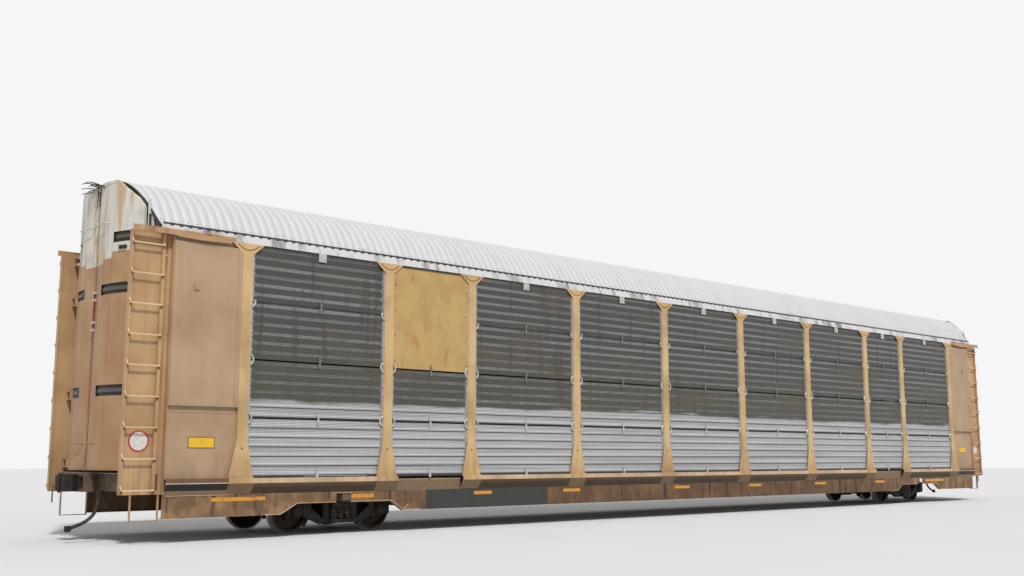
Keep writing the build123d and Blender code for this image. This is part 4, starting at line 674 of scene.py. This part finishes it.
# an elbow turns each rung's outer end up and in, to the face of the outer stile
ELBOW = ((13.893, 1.440, 0.075), (13.895, 1.475, 0.050), (13.893, 1.495, 0.015), (13.880, 1.495, 0.0))
elbows = [tubes([[(end * x, side * y, z + lift) for x, y, lift in ELBOW] for z in RUNG_Z], 0.011, sides=6)
          for end, side in CORNERS.values()]
make_piece("ladder_stiles", at_corners(stiles), corner_tan)
make_piece("rung_elbows", elbows, rung_yellow)
make_piece("rung_bolts", at_corners(rung_bolts), bolt_rust)

# End walls: flat steel strips stiffen the big plates beside each ladder, and a stop stands on each upper plate.
# A pressed lip hangs from the end beam above and bows outwards from the plate.
TRIM_Y = 1.5205
LIP_X = (12.28, 13.22)
LIP_Y = 1.552
LIP_BOW, LIP_DROP = 0.014, 0.016
LIP_ROWS = ((0.0, 4.795), (0.55, 4.762), (1.0, 4.728), (1.0, 4.722), (0.50, 4.748), (0.0, 4.775))
trim = blocks([(13.165, TRIM_Y, 3.379, 0.110, 0.007, 2.560), (12.080, TRIM_Y, 3.379, 0.070, 0.007, 2.560),
               (12.640, 1.4730, 2.020, 1.180, 0.006, 0.060), (12.640, 1.5210, 2.098, 1.190, 0.008, 0.018)])
stop = blocks([(12.842, 1.5200, 3.954, 0.105, 0.012, 0.105), (12.842, 1.5300, 3.954, 0.062, 0.030, 0.062)])
x = np.linspace(*LIP_X, 25)
# the lip bows by the sine of half a turn from one end of it to the other, to the power of 1.3
bow = np.maximum(0.0, np.sin(np.pi * (x - LIP_X[0]) / (LIP_X[1] - LIP_X[0]))) ** 1.3
lip = bands([line(x, LIP_Y + LIP_BOW * share * bow, z - LIP_DROP * share * bow) for share, z in LIP_ROWS])
make_piece("end_wall_trim", at_corners(trim), plate_tan)
make_piece("end_wall_stops", at_corners(stop), plate_tan)
make_piece("end_beam_lips", at_corners(lip), corner_tan)

# Plates and signs: a yellow enamel plate on each lower end wall and a round sign on each ladder column.
# Both are blank steel, riveted at their corners.
PLATE_X, PLATE_Z = 12.630, 1.525
SIGN_X, SIGN_Z = 13.620, 1.539
SIGN_RADIUS = 0.165
SIGN_WHITE = (0.62, 0.60, 0.56)
SIGN_RED = (0.42, 0.035, 0.045)
SIGN_GRIME = (0.30, 0.19, 0.11)
plate_yellow = worn_finish("plate_yellow", (0.72, 0.44, 0.02), (0.42, 0.26, 0.04), 14.0, (0.5, 0.8),
                           depth=0.0008, roughness=0.4)
sign_enamel = Finish("sign_enamel", roughness=0.35)
off_x, off_z = abs(sign_enamel.x) - SIGN_X, sign_enamel.z - SIGN_Z
rim = fade(calc("SQRT", off_x * off_x + off_z * off_z), SIGN_RADIUS - 0.030, SIGN_RADIUS - 0.026)
grime = cloudy(sign_enamel.place, 18.0, detail=5.0)
sign_enamel.colour(blend(fade(grime, 0.5, 0.8) * 0.6, blend(rim, SIGN_WHITE, SIGN_RED), SIGN_GRIME))
sign_enamel.relief(grime, 0.0008)
plate = blocks([(PLATE_X, 1.4740, PLATE_Z, 0.430, 0.006, 0.150)])
plate_rim = blocks([(PLATE_X, 1.4725, PLATE_Z, 0.455, 0.005, 0.175)])
make_piece("yellow_plates", at_corners(plate), plate_yellow)
make_piece("yellow_plate_rims", at_corners(plate_rim), bolt_rust)
# a sign is a disc: rings of the cosine and sine of the turn from its middle out to the rim, and back behind it
turn = np.linspace(0.0, 2 * np.pi, 33)
sign = bands([line(SIGN_X + r * np.cos(turn), y, SIGN_Z + r * np.sin(turn))
              for r, y in ((0.0002, 1.4006), (SIGN_RADIUS, 1.4006), (SIGN_RADIUS, 1.4040), (0.0002, 1.4040))])
make_piece("round_signs", at_corners(sign), sign_enamel)

# Lower chords: the bright strip under the wall and the skirt that slopes in under it.
# The strip is pressed tan steel; the skirt below it faces down and is painted dark as painted shade over its road
# dirt.
SKIRT_HIGH = (0.125, 0.064, 0.022)
SKIRT_LOW = (0.046, 0.025, 0.009)
END_BAY_SHADOW = (0.006, 0.005, 0.004)
END_SKIRT_EDGE = (0.26, 0.17, 0.10)
RED_BAND = (0.085, 0.040, 0.022)
SET_BACK_SHADE = (0.175, 0.108, 0.056)
chord_tan = tan_paint("chord_tan", (0.62, 0.44, 0.29), (0.46, 0.31, 0.19), streaks=0.5, rust=0.4, low_dirt=0.15)
z = chord_tan.z
end_bay = fade(abs(chord_tan.x), 12.05, 12.10)
# where the surface faces down, the skirt is painted dark as painted shade over its road dirt
skirt_shade_and_dirt = blend(fade(z, 0.880, 0.800), SKIRT_HIGH, SKIRT_LOW)
# in the end bays the skirt is painted black as painted shadow, with a paler edge below 0.79 m
skirt_shade_and_dirt = blend(end_bay, skirt_shade_and_dirt, blend(fade(z, 0.790, 0.780), END_BAY_SHADOW, END_SKIRT_EDGE))
tone = blend(end_bay * fade(z, 0.903, 0.909) * 0.9, chord_tan.tone, RED_BAND)
# the set-back chord face of the narrow bays is painted darker as painted shade, below its top edge
set_back_shade = fade(abs(chord_tan.y), 1.540, 1.530) * fade(z, 0.918, 0.912)
tone = blend(set_back_shade * 0.9, tone, SET_BACK_SHADE)
chord_tan.colour(blend(facing_down(chord_tan), tone, skirt_shade_and_dirt))
paint_node(chord_tan, "lower_chords")

# Side sills: the deep steel web of the flat car, brown with old paint and road dirt.
# A dark grey patch fills one bay on each side, and rust shows through along the lip.
SILL_BROWN, SILL_LIGHT = (0.092, 0.047, 0.022), (0.170, 0.090, 0.040)
SILL_END, SILL_END_LIGHT = (0.150, 0.082, 0.038), (0.310, 0.178, 0.085)
SILL_RUN = (0.036, 0.021, 0.013)
PATCH_GREY = (0.028, 0.036, 0.033)
sill_brown = Finish("sill_brown", roughness=0.72)
clouds = cloudy(sill_brown.place, 2.1, detail=7.0, rough=0.65)
runs = cloudy(sill_brown.place, 7.0, stretch=(1.0, 1.0, 0.12), detail=5.0)
toward_ends = fade(abs(sill_brown.x), 7.8, 9.6)
light = blend(toward_ends, SILL_LIGHT, SILL_END_LIGHT)
dark = blend(toward_ends, SILL_BROWN, SILL_END)
tone = blend(fade(clouds, 0.40, 0.66), dark, light)
tone = blend(fade(runs, 0.52, 0.70), tone, SILL_RUN)
side_x = sill_brown.x * calc("SIGN", sill_brown.y)
patch = fade(side_x, 5.07, 5.10) * fade(side_x, 8.19, 8.16) * fade(runs, 0.78, 0.60)
sill_brown.colour(blend(patch * 0.92, tone, PATCH_GREY))
sill_brown.relief(clouds, 0.004, 0.6)
paint_node(sill_brown, "side_sills")

# Sill fittings: orange reflector strips, gusset ribs at the arches, a lip along each arch and pocket rims.
# The reflectors are stuck to the web; the ribs, lips and rims are welded steel bar.
REFLECTOR_X = ((-12.41, -11.46), (-9.79, -9.32), (-7.02, -6.57), (-4.64, -4.15), (-1.11, -0.60), (1.66, 2.18),
               (4.50, 5.00), (7.46, 7.96), (10.26, 11.40))
LIP_XZ = ((11.46, 0.378), (11.17, 0.378), (10.86, 0.548), (10.10, 0.548), (10.10, 0.700), (9.78, 0.700),
          (9.78, 0.548), (8.94, 0.548), (8.67, 0.378), (8.30, 0.378))
GUSSETS = (((11.200, 0.390), (11.290, 0.475)), ((8.660, 0.390), (8.560, 0.475)))
BAR_Y = 1.4545
reflector = worn_finish("reflector", (0.62, 0.27, 0.02), (0.24, 0.12, 0.045), 16.0, (0.52, 0.74),
                        depth=0.0008, roughness=0.3)
lip_tan = tan_paint("lip_tan", (0.46, 0.33, 0.22), (0.24, 0.15, 0.08), streaks=0.4, rust=0.6)
strips = [(-side * (low_x + high_x) / 2, side * 1.4515, 0.640, high_x - low_x, 0.005, 0.060)
          for side in (-1, 1) for low_x, high_x in REFLECTOR_X]
bars = []
for side in (-1, 1):
    for end in (-1, 1):
        bars.append(tubes([[(end * x, side * BAR_Y, z) for x, z in LIP_XZ]], 0.010, sides=6))
        bars += [tubes([[(end * x, side * BAR_Y, z) for x, z in gusset]], 0.008, sides=6) for gusset in GUSSETS]
        bars.append(blocks([(end * 12.60, side * 1.4540, 0.712, 1.150, 0.012, 0.014)]))
make_piece("reflectors", [blocks(strips)], reflector)
make_piece("sill_lips", bars, lip_tan)

# Doors: two tall bowed steel leaves at each end, painted white at the top and orange-tan below.
# Rust and old paint bleed down from the white part, and the orange is darker towards the foot.
DOOR_WHITE = (0.62, 0.60, 0.54)
DOOR_WHITE_RUN = (0.46, 0.28, 0.10)
DOOR_WHITE_DIRT = (0.34, 0.32, 0.29)
DOOR_ORANGE = (0.44, 0.27, 0.14)
DOOR_ORANGE_DARK = (0.36, 0.195, 0.085)
DOOR_RUST_RUN = (0.22, 0.10, 0.04)
DOOR_FOOT_DARK = (0.30, 0.15, 0.06)
POCKET_SHADE = (0.010, 0.010, 0.010)
ARM_BROWN = (0.075, 0.062, 0.050)
WHITE_FOOT_Z = 4.42
DOOR_ARC_X = 12.412
DOOR_ARC_Y = 0.351
DOOR_ARC_RADIUS = 1.4793
POCKETS = ((2.329, 0.33), (3.929, 0.33), (4.749, 0.64))
door_paint = Finish("door_paint", roughness=0.5)
clouds = cloudy(door_paint.place, 1.5, detail=6.0)
runs = cloudy(door_paint.place, 6.0, stretch=(1.0, 1.0, 0.10), detail=4.0)
from_seam, z = abs(door_paint.y), door_paint.z
foot = fade(from_seam, 0.62, 0.63) * 0.10 + WHITE_FOOT_Z - fade(from_seam, 0.36, 0.35) * 0.07
white = blend(fade(runs, 0.47, 0.66) * 0.75, DOOR_WHITE, DOOR_WHITE_RUN)
white = blend(fade(clouds, 0.55, 0.7) * 0.5, white, DOOR_WHITE_DIRT)
orange = blend(fade(clouds, 0.35, 0.65), DOOR_ORANGE, DOOR_ORANGE_DARK)
orange = blend(fade(runs, 0.55, 0.75) * 0.6, orange, DOOR_RUST_RUN)
# the orange is darker towards the foot
orange = blend(fade(z, 4.6, 2.2) * 0.35, orange, DOOR_FOOT_DARK)
tone = blend(fade(z - foot, -0.008, 0.008), orange, white)
# the pockets are painted black as painted shade inside them: what lies more than 5 mm under the arc of the skin,
# with the arm less far in
off_arc = from_seam - DOOR_ARC_Y
skin_x = calc("SQRT", DOOR_ARC_RADIUS ** 2 - off_arc * off_arc) + DOOR_ARC_X
sunk = skin_x - abs(door_paint.x)
in_pocket = 0.0
for pocket_z, start_y in POCKETS:
    band = fade(abs(z - pocket_z), 0.088, 0.085) * fade(from_seam, start_y - 0.004, start_y)
    in_pocket = calc("MAXIMUM", in_pocket, band)
arm = blend(fade(sunk, 0.016, 0.012), POCKET_SHADE, ARM_BROWN)
door_paint.colour(blend(in_pocket * fade(sunk, 0.005, 0.007), tone, arm))
door_paint.relief(clouds, 0.008, 0.6)
paint_node(door_paint, *(f"door_leaf_{corner}" for corner in CORNERS))

# Door frames and hinges: the tan steel portal behind the leaves and the hinge pins at its corners.
# Above the corner columns the portal is painted white with the roof.
PORTAL_SHADE = (0.30, 0.17, 0.08)
PORTAL_WHITE = (0.60, 0.58, 0.54)
PORTAL_WHITE_DIRT = (0.36, 0.30, 0.23)
portal_paint = Finish("portal_paint", roughness=0.6)
clouds = cloudy(portal_paint.place, 2.0, detail=6.0)
tan = blend(fade(clouds, 0.35, 0.68), DOOR_ORANGE, PORTAL_SHADE)
white = blend(fade(clouds, 0.45, 0.70), PORTAL_WHITE, PORTAL_WHITE_DIRT)
portal_paint.colour(blend(fade(portal_paint.z, 4.79, 4.81), tan, white))
portal_paint.relief(clouds, 0.005, 0.6)
paint_node(portal_paint, "end_frame_a", "end_frame_b", "door_hinges")

# Door gear: grab irons, a lock handle and its guides, seam strips and bolted bars on the bowed leaves.
# Each piece is steel, bent or set to the leaf's arc, bolted through its skin, and turns with its leaf.
lock_red = worn_finish("lock_red", (0.33, 0.028, 0.022), (0.13, 0.022, 0.018), 20.0, (0.4, 0.75), roughness=0.5)
gear_black = worn_finish("gear_black", (0.014, 0.014, 0.014), (0.085, 0.055, 0.035), 26.0, (0.45, 0.8))


def door_out(y):
    """The distance of the door's skin from the middle of the car, at y off the seam: the leaf is an arc."""
    return DOOR_ARC_X + np.sqrt(DOOR_ARC_RADIUS ** 2 - (np.abs(y) - DOOR_ARC_Y) ** 2)


def bent_strip(end, side, near_y, far_y, low_z, high_z, proud):
    """A flat strip laid on the door: the arc of its skin between two distances off the seam, closed round."""
    y = np.linspace(near_y, far_y, 9)
    rows = ((-0.004, low_z), (proud, low_z), (proud, high_z), (-0.004, high_z), (-0.004, low_z))
    return bands([line(end * (door_out(y) + out), side * y, z) for out, z in rows])


# near and far edge off the seam, foot and head height, and how far it stands proud
SEAM_STRIPS = ((0.014, 0.062, 1.130, 5.660, 0.007), (0.612, 0.628, 1.170, 2.240, 0.003),
               (0.612, 0.628, 2.418, 3.840, 0.003), (0.612, 0.628, 4.018, 5.560, 0.003),
               (0.066, 0.660, 5.640, 5.672, 0.007), (0.066, 1.195, 1.125, 1.165, 0.007))
IRONS = ((0.090, 0.500, 5.000), (0.090, 0.330, 1.520))
IRON_OFF = 0.075
IRON_RADIUS = 0.011
DOOR_BAR = (0.800, 0.960, 4.560, 4.585, 0.018)
HANDLE_Y = 0.105
HANDLE_Z = (3.330, 3.890)
for corner, (end, side) in CORNERS.items():
    leaf = f"door_leaf_{corner}"
    strips = [bent_strip(end, side, *strip) for strip in SEAM_STRIPS]
    make_piece(f"door_strips_{corner}", strips, door_paint, body=leaf)
    irons = []
    # an iron stands off the straight line between its two feet, with its corners rounded by a point each
    for near_y, far_y, z in IRONS:
        y = np.array([near_y, near_y, near_y + 0.006, near_y + 0.03, (near_y + far_y) / 2, far_y - 0.03,
                      far_y - 0.006, far_y, far_y])
        off = IRON_OFF + np.array([0.0, -0.025, -0.006, 0.0, 0.0, 0.0, -0.006, -0.025, 0.0])
        off[[0, -1]] = -0.01
        base = np.interp(y, [near_y, far_y], door_out(np.array([near_y, far_y])))
        irons.append(tubes([line(end * (base + off), side * y, z)], IRON_RADIUS))
    make_piece(f"grab_irons_{corner}", irons, door_paint, body=leaf, smooth=True)
    bolts = [(end * (door_out(y) + 0.006), side * y, 4.572, 0.060, 0.040, 0.060) for y in (0.84, 0.92)]
    make_piece(f"door_bars_{corner}", [bent_strip(end, side, *DOOR_BAR), blocks(bolts)], gear_black, body=leaf)
for name, end in ENDS.items():
    leaf = f"door_leaf_{name}_right"
    x = end * (float(door_out(HANDLE_Y)) + 0.030)
    low_z, high_z = HANDLE_Z
    handle = blocks([(x, -HANDLE_Y, (low_z + high_z) / 2, 0.016, 0.040, high_z - low_z)])
    make_piece(f"lock_handle_{name}", [handle], lock_red, body=leaf)
    guides = blocks([(x - end * 0.012, -HANDLE_Y, z, 0.050, 0.075, 0.040)
                     for z in (low_z - 0.02, high_z + 0.02, low_z + 0.10, high_z - 0.10)])
    make_piece(f"lock_guides_{name}", [guides], clip_zinc, body=leaf)

# Decks: galvanised steel floors with pressed ridges, dulled by tyres.
# The lower deck is riveted to the sills; the two upper decks hang on the posts.
DECK_ZINC = (0.40, 0.40, 0.39)
DECK_DULL = (0.28, 0.275, 0.26)
TYRE_MARK = (0.12, 0.11, 0.10)
deck_zinc = Finish("deck_zinc", roughness=0.5, metallic=0.4)
clouds = cloudy(deck_zinc.place, 3.0, detail=6.0)
tracks = cloudy(deck_zinc.place, 5.0, stretch=(0.08, 1.0, 1.0), detail=4.0)
tone = blend(fade(clouds, 0.35, 0.7), DECK_ZINC, DECK_DULL)
deck_zinc.colour(blend(fade(tracks, 0.52, 0.7), tone, TYRE_MARK))
deck_zinc.relief(clouds, 0.002, 0.5)
paint_node(deck_zinc, "lower_deck", "middle_deck", "upper_deck")

# Underframe: the centre sill, its cross members and the brake gear, welded steel plate under old brown paint.
# It lives in the dust of the track, and its colour is painted nearly black all over as painted shade, for where the
# light does not reach.
UNDER_BROWN = (0.075, 0.050, 0.032)
UNDER_DUST = (0.16, 0.105, 0.062)
under_dirt_and_shade = Finish("under_dirt_and_shade", roughness=0.8)
clouds = cloudy(under_dirt_and_shade.place, 3.5, detail=7.0, rough=0.65)
# the dark brown is painted shade as well as old paint and dust
under_dirt_and_shade.colour(blend(fade(clouds, 0.35, 0.68), UNDER_BROWN, UNDER_DUST))
under_dirt_and_shade.relief(cloudy(under_dirt_and_shade.place, 40.0, detail=5.0), 0.003, 0.7)
paint_node(under_dirt_and_shade, "center_sill", "draft_sills", "end_sills", "draft_gear", "crossbearers", "body_bolsters",
           "brake_gear", "uncoupling_levers")

# Trucks: cast steel side frames and bolsters, black-brown with oil and brake dust and painted darker still as
# painted shade under the car.
# The castings keep a sandy skin, and dust lies on what faces up.
IRON_BLACK_SHADED = (0.010, 0.009, 0.008)
IRON_BROWN_SHADED = (0.034, 0.024, 0.018)
TRUCK_DUST = (0.085, 0.070, 0.055)
truck_iron = Finish("truck_iron", roughness=0.75, metallic=0.2)
clouds = cloudy(truck_iron.place, 6.0, detail=7.0, rough=0.65)
normal = node(truck_iron.tree, "ShaderNodeNewGeometry", output="Normal")
dusty = fade(split(normal)[2], 0.2, 0.9) * fade(clouds, 0.3, 0.6)
# the iron's near-black is partly its oily colour and partly painted shade
tone = blend(fade(clouds, 0.40, 0.68), IRON_BLACK_SHADED, IRON_BROWN_SHADED)
truck_iron.colour(blend(dusty * 0.7, tone, TRUCK_DUST))
truck_iron.relief(cloudy(truck_iron.place, 120.0, detail=4.0), 0.0015, 0.8)
for name in ENDS:
    paint_node(truck_iron, f"side_frames_{name}", f"truck_bolster_{name}", f"springs_{name}", f"bearings_{name}",
               f"coupler_{name}", f"glad_hand_{name}", f"angle_cock_{name}", f"brake_beams_{name}")

# Springs: six coils of round spring steel stand on each side frame's seat and carry the bolster.
# They are bare black steel, ground flat at both ends.
TRUCK_X = 9.754
SPRING_X = (-0.14, 0.0, 0.14)
SPRING_Y = 1.003
SPRING_OFF_Y = 0.07
SPRING_RADIUS = 0.052
SPRING_WIRE = 0.0085
SPRING_LOW_Z = 0.244
SPRING_HIGH_Z = 0.434
SPRING_TURNS = 5.5
spring_steel = worn_finish("spring_steel", (0.13, 0.105, 0.085), (0.055, 0.042, 0.034), 30.0, (0.4, 0.7),
                           roughness=0.5, metallic=0.3)
# a coil goes round by the cosine and sine of its turns and rises evenly from its seat to the bolster
t = np.linspace(0.0, 1.0, 66)
wound = 2 * np.pi * SPRING_TURNS * t
rise = SPRING_LOW_Z + SPRING_WIRE + (SPRING_HIGH_Z - SPRING_LOW_Z - 2 * SPRING_WIRE) * t
coil = line(SPRING_RADIUS * np.cos(wound), SPRING_RADIUS * np.sin(wound), rise)
for name, end in ENDS.items():
    middles = [(end * TRUCK_X + x, side * SPRING_Y + y, 0.0)
               for x in SPRING_X for side in (-1, 1) for y in (-SPRING_OFF_Y, SPRING_OFF_Y)]
    wires = tubes(np.array(middles)[:, None, :] + coil[None], SPRING_WIRE, sides=6)
    coils = make_piece(f"spring_coils_{name}", [wires], spring_steel, body=f"truck_{name}",
                       smooth=True)
    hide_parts(f"springs_{name}")

# Wheelsets: two forged wheels pressed on an axle, rust-brown and painted darker as painted shade under the car,
# with the treads rolled bright by the rail.
# The bright band is a turned ring, so it follows the distance from the axle.
AXLE_Z = 0.3845
TREAD_RADIUS = 0.3555
HALF_BASE = 0.8635
WHEEL_BROWN_SHADED = (0.024, 0.017, 0.013)
WHEEL_RUST_SHADED = (0.060, 0.036, 0.022)
TREAD_BRIGHT = (0.42, 0.41, 0.40)
for name, end in ENDS.items():
    for number, axle in ((1, -1), (2, 1)):
        wheel_steel = Finish(f"wheel_steel_{name}{number}", roughness=0.6, metallic=0.5)
        middle = (end * TRUCK_X + axle * HALF_BASE, 0.0, AXLE_Z)
        inputs = {0: wheel_steel.place, 1: middle}
        here = node(wheel_steel.tree, "ShaderNodeVectorMath", inputs, operation="SUBTRACT")
        x, _, z = split(here)
        radius = calc("SQRT", x * x + z * z)
        clouds = cloudy(here, 9.0, detail=6.0)
        # the rust-brown is painted darker as painted shade
        rust = blend(fade(clouds, 0.35, 0.7), WHEEL_BROWN_SHADED, WHEEL_RUST_SHADED)
        tread = fade(radius, TREAD_RADIUS - 0.006, TREAD_RADIUS - 0.003)
        wheel_steel.colour(blend(tread, rust, TREAD_BRIGHT))
        wheel_steel.set("Roughness", 0.72 - tread * 0.42)
        wheel_steel.relief(cloudy(here, 80.0), 0.001, 0.6)
        paint_node(wheel_steel, f"wheelset_{name}{number}")

# Floor and light: an even pale floor, one large soft lamp high on the near side and an even pale surround.
# The surround shows white to the camera and in reflections, and lights the car at a plain level.
FLOOR_HALF = 120
FLOOR_GREY, FLOOR_PALE = (0.66, 0.66, 0.66), (0.72, 0.72, 0.72)
SURROUND_LIGHT = 0.46
floor_mesh = bpy.data.meshes.new("floor")
floor_corners = [(x * FLOOR_HALF, y * FLOOR_HALF, 0) for x, y in ((-1, -1), (1, -1), (1, 1), (-1, 1))]
floor_mesh.from_pydata(floor_corners, [], [(0, 1, 2, 3)])
floor = bpy.data.objects.new("floor", floor_mesh)
bpy.context.scene.collection.objects.link(floor)
floor_paint = Finish("floor_paint", roughness=0.95)
floor_paint.colour(blend(cloudy(floor_paint.place, 0.6, detail=6.0), FLOOR_GREY, FLOOR_PALE))
floor_mesh.materials.append(floor_paint.material)

world = bpy.data.worlds.new("surround")
bpy.context.scene.world = world
world.use_nodes = True
tree = world.node_tree
seen = 0.0
for ray in ("Camera", "Glossy", "Transmission"):
    seen = calc("MAXIMUM", seen, node(tree, "ShaderNodeLightPath", output=f"Is {ray} Ray"))
backdrop = tree.nodes["Background"]
backdrop.inputs["Color"].default_value = (1.0, 1.0, 1.0, 1.0)
tree.links.new((seen * SURROUND_LIGHT + SURROUND_LIGHT).socket, backdrop.inputs["Strength"])
lamp_data = bpy.data.lights.new("lamp", "SUN")
lamp_data.energy = 2.6
lamp_data.angle = math.radians(6)
lamp = bpy.data.objects.new("lamp", lamp_data)
bpy.context.scene.collection.objects.link(lamp)
lamp.rotation_euler = (math.radians(34), math.radians(-20), 0.0)

bpy.context.scene.view_settings.view_transform = "Standard"
